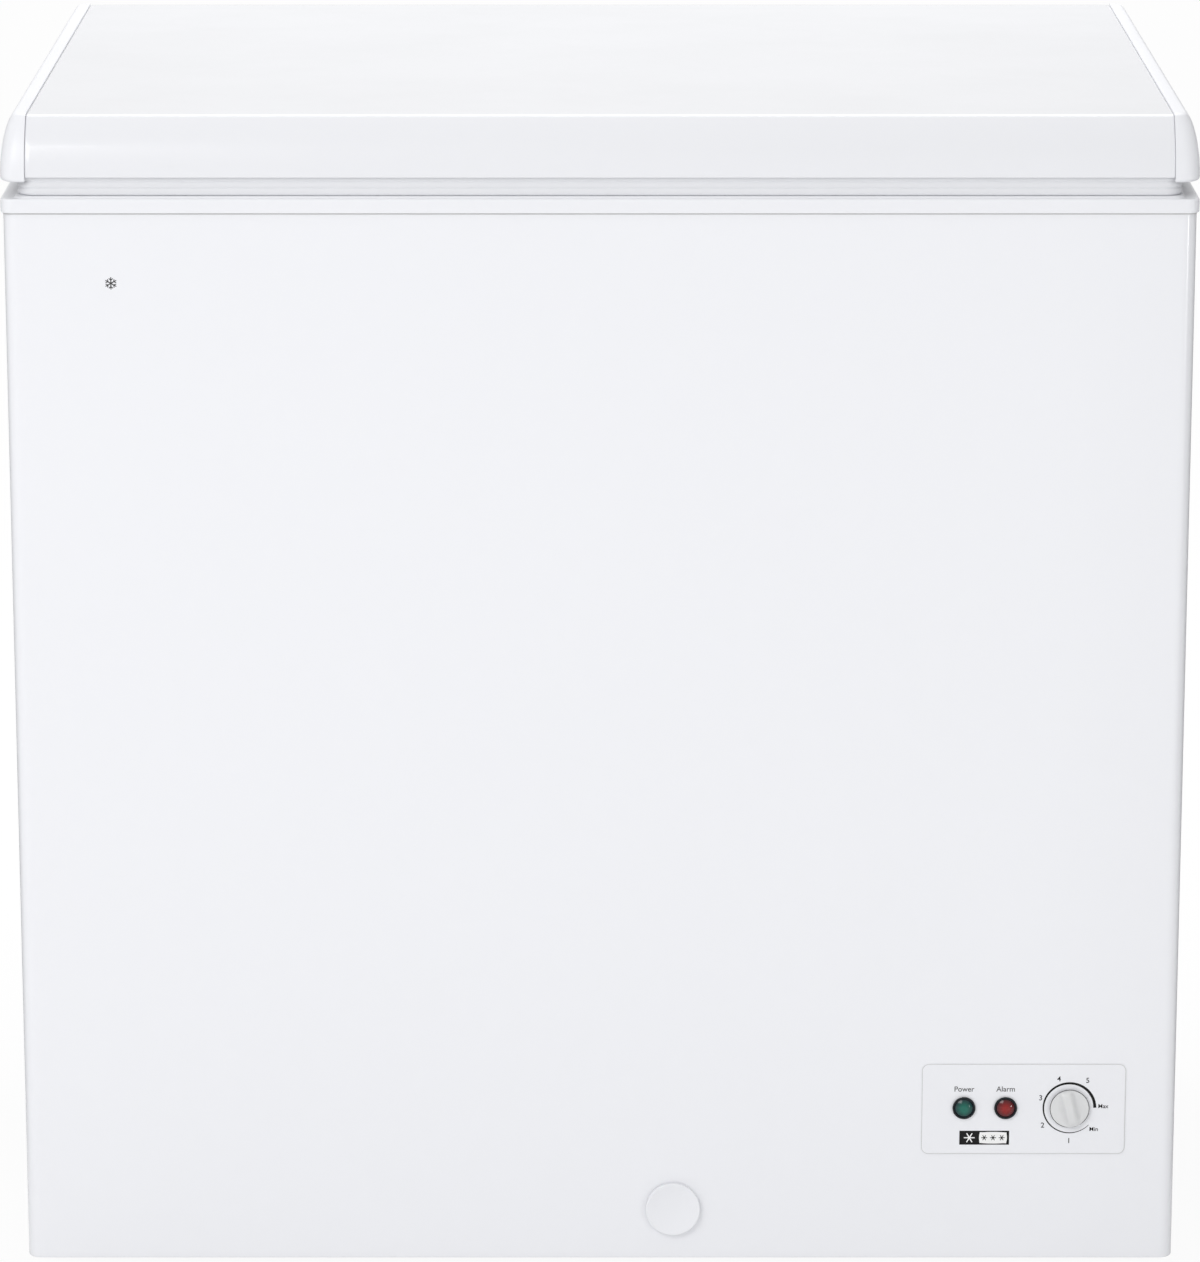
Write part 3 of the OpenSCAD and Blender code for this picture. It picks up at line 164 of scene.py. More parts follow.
def addGroup(tree, kind, values):
    return addNode(tree, "ShaderNodeGroup", values, node_tree=groups[kind])


def makeFinish(name, own):
    look = {**usualLook, "colourTwo": own["colour"], **own}
    material = bpy.data.materials.new(name)
    material.use_nodes = True
    tree = material.node_tree
    shader = tree.nodes["Principled BSDF"]
    values = {"Metallic": look["metallic"], "Specular IOR Level": look["specular"]}
    if look["coat"]:
        values.update({"Coat Weight": look["coat"], "Coat Roughness": look["coatRoughness"]})
    if look["subsurface"]:
        values.update({"Subsurface Weight": look["subsurface"], "Subsurface Radius": (0.004, 0.004, 0.004)})
    for socket, value in values.items():
        shader.inputs[socket].default_value = value

    coords = addNode(tree, "ShaderNodeTexCoord")
    tint = addNode(tree, "ShaderNodeTexNoise", {"Scale": look["tintScale"], "Detail": 3.0})  # slow drift
    colours = addNode(tree, "ShaderNodeMix", data_type="RGBA")
    colours.inputs[6].default_value = look["colour"]
    colours.inputs[7].default_value = look["colourTwo"]
    dust = addGroup(tree, "dust", {"Amount": look["dust"], "Scale": look["dustScale"]})
    dusty = addNode(tree, "ShaderNodeMix", data_type="RGBA")
    dusty.inputs[7].default_value = look["dustColour"]
    uneven = addGroup(tree, "uneven", {"Scale": look["glossScale"], "Low": look["rough"][0],
                                       "High": look["rough"][1]})
    scuff = addGroup(tree, "scuff", {"Scale": look["scuffScale"], "Cut": look["scuffCut"]})
    duller = addNode(tree, "ShaderNodeMath", {1: look["scuffRough"]}, operation="MULTIPLY_ADD",
                     use_clamp=True)
    grain = addGroup(tree, "grain", {"Scale": look["grainScale"], "Coarse Scale": look["coarseScale"],
                                     "Coarse Share": look["coarseShare"]})
    bump = addNode(tree, "ShaderNodeBump", {"Strength": look["bump"], "Distance": look["bumpDepth"]})
    addLinks(tree, (coords, "Object", tint, "Vector"), (tint, "Fac", colours, 0), (dust, "Mask", dusty, 0),
             (colours, 2, dusty, 6), (dusty, 2, shader, "Base Color"), (scuff, "Mask", duller, 0),
             (uneven, "Value", duller, 2), (duller, 0, shader, "Roughness"),
             (grain, "Height", bump, "Height"), (bump, "Normal", shader, "Normal"))
    return material


def shaderAndCoords(material):
    tree = material.node_tree
    return tree, tree.nodes["Principled BSDF"], next(
        node for node in tree.nodes if node.bl_idname == "ShaderNodeTexCoord")


def addCells(material, look):  # cell pattern: zinc spangle, embossed tub sheet
    tree, shader, coords = shaderAndCoords(material)
    cells = addNode(tree, "ShaderNodeTexVoronoi", {"Scale": look["scale"]}, feature=look["feature"])
    addLinks(tree, (coords, "Object", cells, "Vector"))
    if "depth" in look:
        bump = addNode(tree, "ShaderNodeBump", {"Strength": look["strength"], "Distance": look["depth"]})
        under = shader.inputs["Normal"].links[0].from_node
        addLinks(tree, (cells, "Distance", bump, "Height"), (under, "Normal", bump, "Normal"),
                 (bump, "Normal", shader, "Normal"))
    if "contrast" in look:
        plain = shader.inputs["Base Color"].links[0].from_node
        split = addNode(tree, "ShaderNodeSeparateColor")
        level = addNode(tree, "ShaderNodeMapRange", {"To Min": 1.0 - look["contrast"]})
        blend = addNode(tree, "ShaderNodeMix", {0: 1.0}, data_type="RGBA", blend_type="MULTIPLY")
        addLinks(tree, (cells, "Color", split, 0), (split, 0, level, "Value"), (plain, 2, blend, 6),
                 (level, "Result", blend, 7), (blend, 2, shader, "Base Color"))


def addLensGlow(material, centre, radius, middle, edge):  # painted light and shade on a lens: a painted lit middle and a painted shaded rim, the same colours also feeding a faint glow
    tree, shader, coords = shaderAndCoords(material)
    away = addNode(tree, "ShaderNodeVectorMath", {1: centre}, operation="DISTANCE")
    reach = addNode(tree, "ShaderNodeMapRange", {"From Max": radius})
    ramp = addNode(tree, "ShaderNodeValToRGB")
    for stop, position, colour in zip(ramp.color_ramp.elements, (lamp["core"], 1.0), (middle, edge)):
        stop.color = colour
        stop.position = position
    addLinks(tree, (coords, "Object", away, 0), (away, "Value", reach, "Value"),
             (reach, "Result", ramp, "Fac"), (ramp, "Color", shader, "Base Color"),
             (ramp, "Color", shader, "Emission Color"))
    shader.inputs["Emission Strength"].default_value = lamp["glow"]


def grey(level, blue=0.0):
    return (level, level, level + blue, 1.0)


def cool(level):  # the faintly blue white of fridge enamel
    return (level, level * 1.008, level * 1.045, 1.0)


enamel = {
    "rough": (0.2, 0.27), "coat": 0.35, "coatRoughness": 0.08, "grainScale": 420.0, "coarseScale": 90.0,
    "coarseShare": 0.5, "scuffCut": 0.78, "scuffRough": 0.08, "dust": 0.02, "tintScale": 2.5}
whiteEnamel = makeFinish("whiteEnamel", {
    **enamel, "colour": cool(0.85), "colourTwo": cool(0.835), "bump": 0.015})
# the lid's enamel is a darker copy of the case's white enamel: painted shade on the lid
shadedLidEnamel = makeFinish("shadedLidEnamel", {
    **enamel, "colour": cool(0.81), "colourTwo": cool(0.8), "bump": 0.012})
whiteMoulding = makeFinish("whiteMoulding", {
    "colour": cool(0.84), "colourTwo": cool(0.825), "rough": (0.3, 0.4), "grainScale": 1600.0,
    "bump": 0.06, "bumpDepth": 0.0002, "dust": 0.03, "subsurface": 0.04})
linerPlastic = makeFinish("linerPlastic", {
    "colour": grey(0.82), "colourTwo": grey(0.79), "rough": (0.28, 0.42), "grainScale": 500.0, "bump": 0.08,
    "dust": 0.02, "subsurface": 0.05})
tubSheet = makeFinish("tubSheet", {
    "colour": grey(0.8, 0.01), "colourTwo": grey(0.76, 0.01), "rough": (0.3, 0.45), "grainScale": 700.0,
    "bump": 0.08, "coat": 0.2, "scuffCut": 0.66, "scuffRough": 0.2})
addCells(tubSheet, {"scale": 170.0, "feature": "SMOOTH_F1", "strength": 0.35, "depth": 0.0012})
# the seal's vinyl is set darker than the white mouldings: painted shade from the lid's overhang
shadedSealVinyl = makeFinish("shadedSealVinyl", {
    "colour": cool(0.76), "colourTwo": cool(0.74), "rough": (0.5, 0.62), "grainScale": 1200.0,
    "bump": 0.08, "dust": 0.04, "subsurface": 0.1})
zincSheet = makeFinish("zincSheet", {
    "colour": grey(0.56, 0.01), "colourTwo": grey(0.48, 0.01), "metallic": 0.85, "rough": (0.38, 0.55),
    "grainScale": 300.0, "bump": 0.1, "dust": 0.25, "scuffCut": 0.6, "scuffRough": 0.2})
addCells(zincSheet, {"scale": 130.0, "feature": "F1", "contrast": 0.16})
zincPlate = makeFinish("zincPlate", {
    "colour": (0.66, 0.67, 0.7, 1), "colourTwo": (0.6, 0.59, 0.52, 1), "metallic": 1.0, "rough": (0.22, 0.38),
    "tintScale": 18.0, "grainScale": 800.0, "bump": 0.1, "dust": 0.12, "scuffCut": 0.55, "scuffRough": 0.25})
copperTube = makeFinish("copperTube", {
    "colour": (0.68, 0.34, 0.2, 1), "colourTwo": (0.4, 0.2, 0.12, 1), "metallic": 1.0, "rough": (0.25, 0.5),
    "tintScale": 40.0, "grainScale": 500.0, "bump": 0.12, "dust": 0.15})
blackEnamel = makeFinish("blackEnamel", {
    "colour": grey(0.018), "colourTwo": grey(0.028), "rough": (0.25, 0.42), "grainScale": 260.0, "bump": 0.12,
    "dust": 0.35, "dustColour": (0.3, 0.28, 0.25, 1), "coat": 0.2})
castIron = makeFinish("castIron", {
    "colour": grey(0.16), "colourTwo": grey(0.1), "metallic": 0.8, "rough": (0.45, 0.65), "grainScale": 220.0,
    "bump": 0.4, "dust": 0.05})
blackRubber = makeFinish("blackRubber", {
    "colour": grey(0.02), "colourTwo": grey(0.032), "rough": (0.6, 0.78), "grainScale": 900.0, "bump": 0.15,
    "dust": 0.3, "dustColour": (0.3, 0.28, 0.26, 1)})
darkPlastic = makeFinish("darkPlastic", {
    "colour": grey(0.045), "colourTwo": grey(0.06), "rough": (0.4, 0.55), "grainScale": 1300.0, "bump": 0.1,
    "dust": 0.2, "dustColour": (0.35, 0.33, 0.3, 1)})
rimPlastic = makeFinish("rimPlastic", {
    "colour": (0.008, 0.011, 0.014, 1), "colourTwo": (0.012, 0.015, 0.018, 1), "rough": (0.16, 0.24),
    "specular": 0.22, "grainScale": 1500.0, "bump": 0.02, "dust": 0.0})
paleNylon = makeFinish("paleNylon", {
    "colour": (0.72, 0.71, 0.67, 1), "colourTwo": (0.66, 0.65, 0.6, 1), "rough": (0.35, 0.5),
    "grainScale": 1000.0, "bump": 0.1, "dust": 0.12})
knobPlastic = makeFinish("knobPlastic", {
    "colour": (0.71, 0.715, 0.72, 1), "colourTwo": (0.68, 0.685, 0.69, 1), "rough": (0.2, 0.3), "coat": 0.3,
    "grainScale": 1500.0, "bump": 0.04, "dust": 0.01, "subsurface": 0.04})
coatedWire = makeFinish("coatedWire", {
    "colour": grey(0.82, 0.01), "colourTwo": grey(0.78, 0.01), "rough": (0.24, 0.36), "coat": 0.4,
    "grainScale": 500.0, "bump": 0.1})
springSteel = makeFinish("springSteel", {
    "colour": grey(0.22, 0.01), "colourTwo": grey(0.14, 0.0), "metallic": 1.0, "rough": (0.3, 0.45),
    "grainScale": 900.0, "bump": 0.15, "dust": 0.05})
blownFoam = makeFinish("blownFoam", {
    "colour": (0.78, 0.68, 0.42, 1), "colourTwo": (0.7, 0.58, 0.34, 1), "rough": (0.8, 0.95),
    "grainScale": 240.0, "bump": 0.6, "bumpDepth": 0.001, "dust": 0.02})
ink = {"rough": (0.4, 0.5), "bump": 0.02, "dust": 0.0}
# grey for print, and also for the knob's dark rim ring, a painted shadow
markAndShadeGrey = makeFinish("markAndShadeGrey", {**ink, "colour": grey(0.06), "colourTwo": grey(0.075), "specular": 0.25})
inkBlack = makeFinish("inkBlack", {**ink, "colour": grey(0.004), "colourTwo": grey(0.007), "specular": 0.2})
inkWhite = makeFinish("inkWhite", {
    **ink, "colour": grey(0.88), "colourTwo": grey(0.86), "rough": (0.35, 0.45)})
# grey for the line round the control plate: painted shade of the plate's edge
edgeShadeGrey = makeFinish("edgeShadeGrey", {**ink, "colour": grey(0.58), "colourTwo": grey(0.55)})
# grey for the bead under the collar band, which stands in for the shadow line in the gap there: painted shade
gapShadeGrey = makeFinish("gapShadeGrey", {
    "colour": grey(0.6), "colourTwo": grey(0.56), "rough": (0.6, 0.7), "bump": 0.05, "dust": 0.0})
clear = {"rough": (0.08, 0.12), "bump": 0.0, "dust": 0.0}
greenLens = makeFinish("greenLens", {**clear, "colour": (0.0, 0.1, 0.07, 1)})
redLens = makeFinish("redLens", {**clear, "colour": (0.2, 0.005, 0.004, 1)})
print("freezer: materials made")


def addMesh(name, mesh, material=None):
    piece = bpy.data.objects.new(name, mesh)
    scene.collection.objects.link(piece)
    if material:
        mesh.materials.append(material)
    return piece


def meshFrom(name, bm):
    mesh = bpy.data.meshes.new(name)
    bm.to_mesh(mesh)
    bm.free()
    return mesh


def reworkMesh(piece, step):
    bm = bmesh.new()
    bm.from_mesh(piece.data)
    step(bm)
    bmesh.ops.recalc_face_normals(bm, faces=bm.faces)
    bm.to_mesh(piece.data)
    bm.free()


def addPiece(name, verts, faces, material, sharp=32.0):
    mesh = bpy.data.meshes.new(name)
    mesh.from_pydata([tuple(v) for v in verts], [], faces)
    piece = addMesh(name, mesh, material)
    reworkMesh(piece, lambda bm: bmesh.ops.remove_doubles(bm, verts=bm.verts, dist=1e-7))
    smoothFaces(piece, sharp)
    return piece


def smoothFaces(piece, sharp=32.0):
    mesh = piece.data
    for polygon in mesh.polygons:
        polygon.use_smooth = True
    mesh.set_sharp_from_angle(angle=math.radians(sharp))


def settle(piece, sharp=None):  # turns live modifiers into a plain mesh
    depsgraph = bpy.context.evaluated_depsgraph_get()
    mesh = bpy.data.meshes.new_from_object(piece.evaluated_get(depsgraph))
    piece.modifiers.clear()
    piece.data = mesh
    if sharp:
        smoothFaces(piece, sharp)
    return piece


def thicken(piece, depth):  # gives an open sheet its wall, inwards
    modifier = piece.modifiers.new("Wall", "SOLIDIFY")
    modifier.thickness = depth
    modifier.offset = -1.0
    modifier.use_even_offset = True
    return settle(piece)


def roundEdges(piece, width, angle, sharp):
    modifier = piece.modifiers.new("Round", "BEVEL")
    modifier.width = width
    modifier.segments = 2
    modifier.limit_method = "ANGLE"
    modifier.angle_limit = math.radians(angle)
    modifier.harden_normals = False
    return settle(piece, sharp)


def cutWith(piece, cutters):
    for cutter in cutters:
        modifier = piece.modifiers.new("Cut", "BOOLEAN")
        modifier.operation = "DIFFERENCE"
        modifier.solver = "EXACT"
        modifier.object = cutter
    settle(piece)
    for cutter in cutters:
        bpy.data.objects.remove(cutter)
    return piece


def joinPieces(name, parts):
    bm = bmesh.new()
    materials = []
    for part in parts:
        slots = []
        for material in part.data.materials:
            if material not in materials:
                materials.append(material)
            slots.append(materials.index(material))
        start = len(bm.faces)
        bm.from_mesh(part.data)
        bm.faces.ensure_lookup_table()
        for face in bm.faces[start:]:
            face.material_index = slots[face.material_index] if slots else 0
        bpy.data.objects.remove(part)
    piece = addMesh(name, meshFrom(name, bm))
    for material in materials:
        piece.data.materials.append(material)
    return piece


def placeMesh(piece, matrix):  # moves the vertices and leaves the object at the origin
    piece.data.transform(matrix)
    piece.data.update()
    return piece


def arcPoints(cx, cy, radius, start, stop, count):
    angles = [start + (stop - start) * i / count for i in range(count + 1)]
    return [(cx + radius * cosDeg(a), cy + radius * sinDeg(a)) for a in angles]


def raised(points, z):
    return [(x, y, z) for x, y in points]


def roundedLoop(halfX, halfY, radius, arc=10, support=0.0015):  # anticlockwise from the right front corner
    points = []
    for sx, sy, start in ((1, -1, -90), (1, 1, 0), (-1, 1, 90), (-1, -1, 180)):
        corner = arcPoints(sx * (halfX - radius), sy * (halfY - radius), radius, start, start + 90, arc)
        along = Vector((-sinDeg(start), cosDeg(start)))
        first = Vector(corner[0]) - along * support
        last = Vector(corner[-1]) + Vector((-along.y, along.x)) * support
        points += [tuple(first)] + corner + [tuple(last)]
    return points


def loftRings(name, rings, material, closed=True, loop=True, sharp=32.0):
    verts = [Vector(p) for ring in rings for p in ring]
    size = len(rings[0])
    faces = []
    rows = len(rings) if closed else len(rings) - 1
    cols = size if loop else size - 1
    for r in range(rows):
        a = r * size
        b = ((r + 1) % len(rings)) * size
        for c in range(cols):
            d = (c + 1) % size
            faces.append((a + c, a + d, b + d, b + c))
    return addPiece(name, verts, faces, material, sharp)


def sweepFrame(name, profile, halfX, halfY, radius, material, centreY, sharp=32.0):
    rings = []
    for inset, z, *own in profile:  # a profile point may carry its own corner radius
        r = own[0] if own else max(radius - inset, 0.0008)
        rings.append([(x, y + centreY, z) for x, y in roundedLoop(halfX - inset, halfY - inset, r)])
    return loftRings(name, rings, material, sharp=sharp)


def ringPoints(radius, height, steps):
    turns = [2 * math.pi * i / steps for i in range(steps)]
    return [Vector((radius * math.cos(a), radius * math.sin(a), height)) for a in turns]


def stackRings(name, rings, material, sharp=32.0):  # a ring of one point is a pole
    verts = []
    faces = []
    steps = max(len(ring) for ring in rings)
    for low, high in zip(rings, rings[1:]):
        a = len(verts)
        b = a + len(low)
        verts += low
        for i in range(steps):
            j = (i + 1) % steps
            if len(low) == 1 and len(high) > 1:
                faces.append((a, b + i, b + j))
            elif len(high) == 1 and len(low) > 1:
                faces.append((a + i, a + j, b))
            elif len(low) > 1:
                faces.append((a + i, a + j, b + j, b + i))
    return addPiece(name, verts + rings[-1], faces, material, sharp)


def lathe(name, profile, material, steps=64, sharp=32.0):  # profile of (radius, height), turned about Z
    rings = [ringPoints(r, z, steps) if r > 1e-9 else [Vector((0, 0, z))] for r, z in profile]
    return stackRings(name, rings, material, sharp)


def drillBit(radius, reach, material):
    return lathe("drill", [(0.0, -reach), (radius, -reach), (radius, reach), (0.0, reach)], material, 48)


def facingFront(x, y, z):  # stands a shape drawn on XY up against the front, its +Z outwards
    return Matrix.Translation((x, y, z)) @ Matrix.Rotation(math.radians(90), 4, "X")


def prism(bm, outline, height):  # a flat closed shape of the outline's points
    low = [bm.verts.new((x, y, 0)) for x, y in outline]
    high = [bm.verts.new((x, y, height)) for x, y in outline]
    bm.faces.new(low)
    bm.faces.new(high)
    for i in range(len(outline)):
        j = (i + 1) % len(outline)
        bm.faces.new((low[i], low[j], high[j], high[i]))


def flatShape(name, outlines, material):  # outlines of (points, height)
    bm = bmesh.new()
    for outline, height in outlines:
        prism(bm, outline, height)
    bmesh.ops.recalc_face_normals(bm, faces=bm.faces)
    return addMesh(name, meshFrom(name, bm), material)


def finishPiece(piece, body, nodes=()):
    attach(piece, body)
    if nodes:
        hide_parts(*nodes)
    return piece


case = {
    "halfWidth": wrapHi.x, "front": wrapLo.y, "back": wrapHi.y, "bottom": wrapLo.z, "top": wrapHi.z,
    "corner": 0.009, "flange": 0.016, "sheet": 0.0008, "curl": 0.0012,  # radius of the rolled lower edge
    "margin": 0.004, "drainHole": 0.0093, "panelLip": 0.009, "panelCorner": 0.002, "punchReach": 0.02}


def casePath(inset):
    x = case["halfWidth"] - inset
    front = case["front"] + inset
    back = case["back"] - inset
    r = case["corner"] - inset
    half = [(x - case["flange"] + inset, back), (x - r - 0.001, back)]
    half += arcPoints(x - r, back - r, r, 90, 0, 8)
    half += [(x, back - r - 0.002), (x, (front + back) / 2), (x, front + r + 0.002)]
    half += arcPoints(x - r, front + r, r, 0, -90, 12)
    half += [(x - r - 0.002, front), (x * 0.5, front), (0.0, front)]
    return half + [(-px, py) for px, py in reversed(half[:-1])]


def buildCase():
    curl = case["curl"]
    low, high, margin = case["bottom"], case["top"], case["margin"]
    rows = [(curl * (1 - cosDeg(a)), low + curl * (1 - sinDeg(a))) for a in (90, 60, 30, 0)]
    rows += [(0.0, z) for z in (low + margin, low + 0.25, low + 0.5, high - margin, high)]
    rings = [raised(casePath(inset), z) for inset, z in rows]
    shell = loftRings("caseShell", rings, whiteEnamel, closed=False, loop=False)
    flipIfInward(shell, Vector((0, case["front"], 0.5)), Vector((0, -1, 0)))
    thicken(shell, case["sheet"])
    reach = case["punchReach"]
    drill = drillBit(case["drainHole"], reach, whiteEnamel)
    drainX, drainZ = middle(*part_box("drain_cap"))
    placeMesh(drill, facingFront(drainX, case["front"], drainZ))
    lip = case["panelLip"]
    window = roundedLoop((panelHi.x - panelLo.x) / 2 - lip, (panelHi.z - panelLo.z) / 2 - lip,
                         case["panelCorner"], 4)
    punch = loftRings("punch", [raised(window, z) for z in (-reach, reach)], whiteEnamel, closed=False)
    capEnds(punch)
    panelX, panelZ = middle(panelLo, panelHi)
    placeMesh(punch, facingFront(panelX, case["front"], panelZ))
    cutWith(shell, [drill, punch])
    smoothFaces(shell, 25)
    finishPiece(shell, "case", ["outer_wrap"])


def flipIfInward(piece, point, outward):  # makes an open sheet's normals face outward near a point
    mesh = piece.data
    nearest = min(mesh.polygons, key=lambda p: (p.center - point).length)
    if nearest.normal.dot(outward) < 0:
        mesh.flip_normals()


def capEnds(piece):
    reworkMesh(piece, lambda bm: bmesh.ops.holes_fill(
        bm, edges=[e for e in bm.edges if e.is_boundary], sides=0))


buildCase()
print("freezer: case made")


collar = {
    "halfWidth": collarHi.x, "halfDepth": (collarHi.y - collarLo.y) / 2, "corner": 0.008,
    "bandBottom": wrapHi.z + 0.0009, "bandTop": sealLo.z - 0.0003 - 0.0015, "seat": sealLo.z - 0.0003,
    "ledge": 0.010, "ledgeFront": 0.003, "bandRound": 0.0014, "bandWall": 0.0012, "wall": 0.002,
    "opening": 0.05, "openingCorner": 0.026, "mouthRound": 0.005, "lipBottom": collarLo.z,
    "shadeBeadInset": (0.0013, 0.0024), "shadeBeadHeight": 0.0012}


def buildCollar():
    c = collar
    base, top, seat, r = c["bandBottom"], c["bandTop"], c["seat"], c["bandRound"]
    ledge, opening, mouth, wall, lip = c["ledge"], c["opening"], c["mouthRound"], c["wall"], c["lipBottom"]
    profile = [(c["bandWall"], base), (0.0006, base), (0.00018, base + 0.00018), (0.0, base + 0.0006),
               (0.0, base + 0.003), (0.0, top - r - 0.001)]
    profile += [(r - r * cosDeg(a), top - r + r * sinDeg(a)) for a in (0, 18, 36, 54, 72, 90)]
    profile += [(r + 0.001, top), (ledge - 0.0012, top), (ledge - 0.0006, top + 0.0001),
                (ledge - 0.0002, top + 0.0005), (ledge + 0.0001, seat - 0.0004),
                (ledge + 0.0005, seat - 0.0001), (ledge + 0.0012, seat), (opening - mouth - 0.002, seat)]
    profile += [(opening - mouth + mouth * sinDeg(a), seat - mouth + mouth * cosDeg(a))
                for a in (0, 15, 30, 45, 60, 75, 90)]
    profile += [(opening, seat - mouth - 0.002), (opening, lip + 0.0008), (opening + 0.0003, lip),
                (opening + wall - 0.0003, lip), (opening + wall, lip + 0.0008),
                (opening + wall, seat - mouth - 0.002),
                (opening - mouth + wall, seat - wall - 0.0005), (opening - mouth - 0.002, seat - wall),
                (ledge + wall, seat - wall), (ledge + wall - 0.001, top - wall),
                (c["bandWall"] + 0.001, top - wall), (c["bandWall"], top - wall - 0.001)]
    rings = []
    less = ledge - c["ledgeFront"]  # the ledge is narrower in front
    for inset, z in profile:
        share = min(max((inset - ledge) / (opening - ledge), 0.0), 1.0)
        corner = c["corner"] + share * (c["openingCorner"] - c["corner"])
        if inset < ledge:
            corner = max(c["corner"] - min(inset, 0.002), 0.003)
        grow = less * min(inset / ledge, 1.0) * (1.0 - share)
        rings.append([(x, y + midY - grow / 2, z) for x, y in
                      roundedLoop(c["halfWidth"] - inset, c["halfDepth"] - inset + grow / 2, corner)])
    piece = loftRings("topCollar", rings, whiteMoulding, sharp=40)
    finishPiece(piece, "case", ["top_collar"])
    # a grey bead where the band meets the case, put in for the shadow line of the gap: painted shade
    (near, far), low, high = c["shadeBeadInset"], wrapHi.z, wrapHi.z + c["shadeBeadHeight"]
    shadeBead = [(far, low), (near, low), (near, high), (far, high)]
    gapShade = sweepFrame("collarJoint", shadeBead, c["halfWidth"], c["halfDepth"], c["corner"], gapShadeGrey, midY)
    finishPiece(gapShade, "case")


buildCollar()
print("freezer: collar made")


lid = {
    "seam": skinHi.x, "lean": 0.017, "creaseRound": 0.0058, "backRound": 0.004, "sheet": 0.0008,
    "hemFront": 0.0023, "hem": 0.008, "hemRound": 0.0014, "edgeRoll": 0.0012}
endCap = {
    "halfWidth": capHi.x, "front": capLo.y, "back": capHi.y, "bottom": capLo.z, "top": capHi.z - 0.00002,
    "flank": 0.010, "corner": 0.011, "rearCorner": 0.009, "rearDraw": 0.004, "footRound": 0.003,
    "wall": 0.0022, "seamRound": 0.0006}


def leanCurve(bottom, top, front, steps=18):  # lid's front edge seen from the side, from the hem upwards
    lean = lid["lean"]
    r = lid["creaseRound"]
    slope = math.atan2(2 * lean, top - bottom)
    rise = r * (1 - math.sin(slope))
    curveTop = top - rise  # where the lean meets the crease's round
    points = [(front + lean * (i / steps) ** 2, bottom + (curveTop - bottom) * i / steps)
              for i in range(steps + 1)]
    cy = points[-1][0] + r * math.cos(slope)
    cz = top - r
    for i in range(1, 9):
        a = slope + (math.pi / 2 - slope) * i / 8
        points.append((cy - r * math.cos(a), cz + r * math.sin(a)))
    return points


def buildLidSkin():
    front, back = skinLo.y, skinHi.y
    bottom, top = skinLo.z, skinHi.z
    hem, h, r = lid["hem"], lid["hemRound"], lid["backRound"]
    outline = [(front + lid["hemFront"], bottom)]
    outline += [(front + h - h * sinDeg(a), bottom + h - h * cosDeg(a)) for a in (0, 30, 60)]
    outline += leanCurve(bottom + h, top, front)
    edge = outline[-1][0]
    outline += [(edge + 0.003, top), ((edge + back) / 2, top), (back - r - 0.003, top)]
    outline += arcPoints(back - r, top - r, r, 90, 0, 6)
    outline += [(back, top - r - 0.003)] + arcPoints(back - h, bottom + h, h, 0, -90, 4)
    outline += [(back - hem, bottom)]
    normals = []
    for i in range(len(outline)):
        a = Vector(outline[max(i - 1, 0)])
        b = Vector(outline[min(i + 1, len(outline) - 1)])
        along = (b - a).normalized()
        normals.append(Vector((along.y, -along.x)))  # inwards, with the outline running up the front
    seam, roll = lid["seam"], lid["edgeRoll"]
    stations = [(seam, 1.0), (seam - 0.1 * roll, 0.55), (seam - 0.4 * roll, 0.15), (seam - roll, 0.0),
                (seam - 0.004, 0.0), (seam * 0.5, 0.0), (0.0, 0.0)]
    stations += [(-x, d) for x, d in reversed(stations[:-1])]
    rings = []
    for x, depth in stations:
        rings.append([(x, y + n.x * depth * roll, z + n.y * depth * roll)
                      for (y, z), n in zip(outline, normals)])
    piece = loftRings("lidSkin", rings, shadedLidEnamel, closed=False, loop=False)
    flipIfInward(piece, Vector((0, 0, top)), Vector((0, 0, 1)))
    thicken(piece, lid["sheet"])
    smoothFaces(piece, 40)
    finishPiece(piece, "lid", ["lid_skin"])


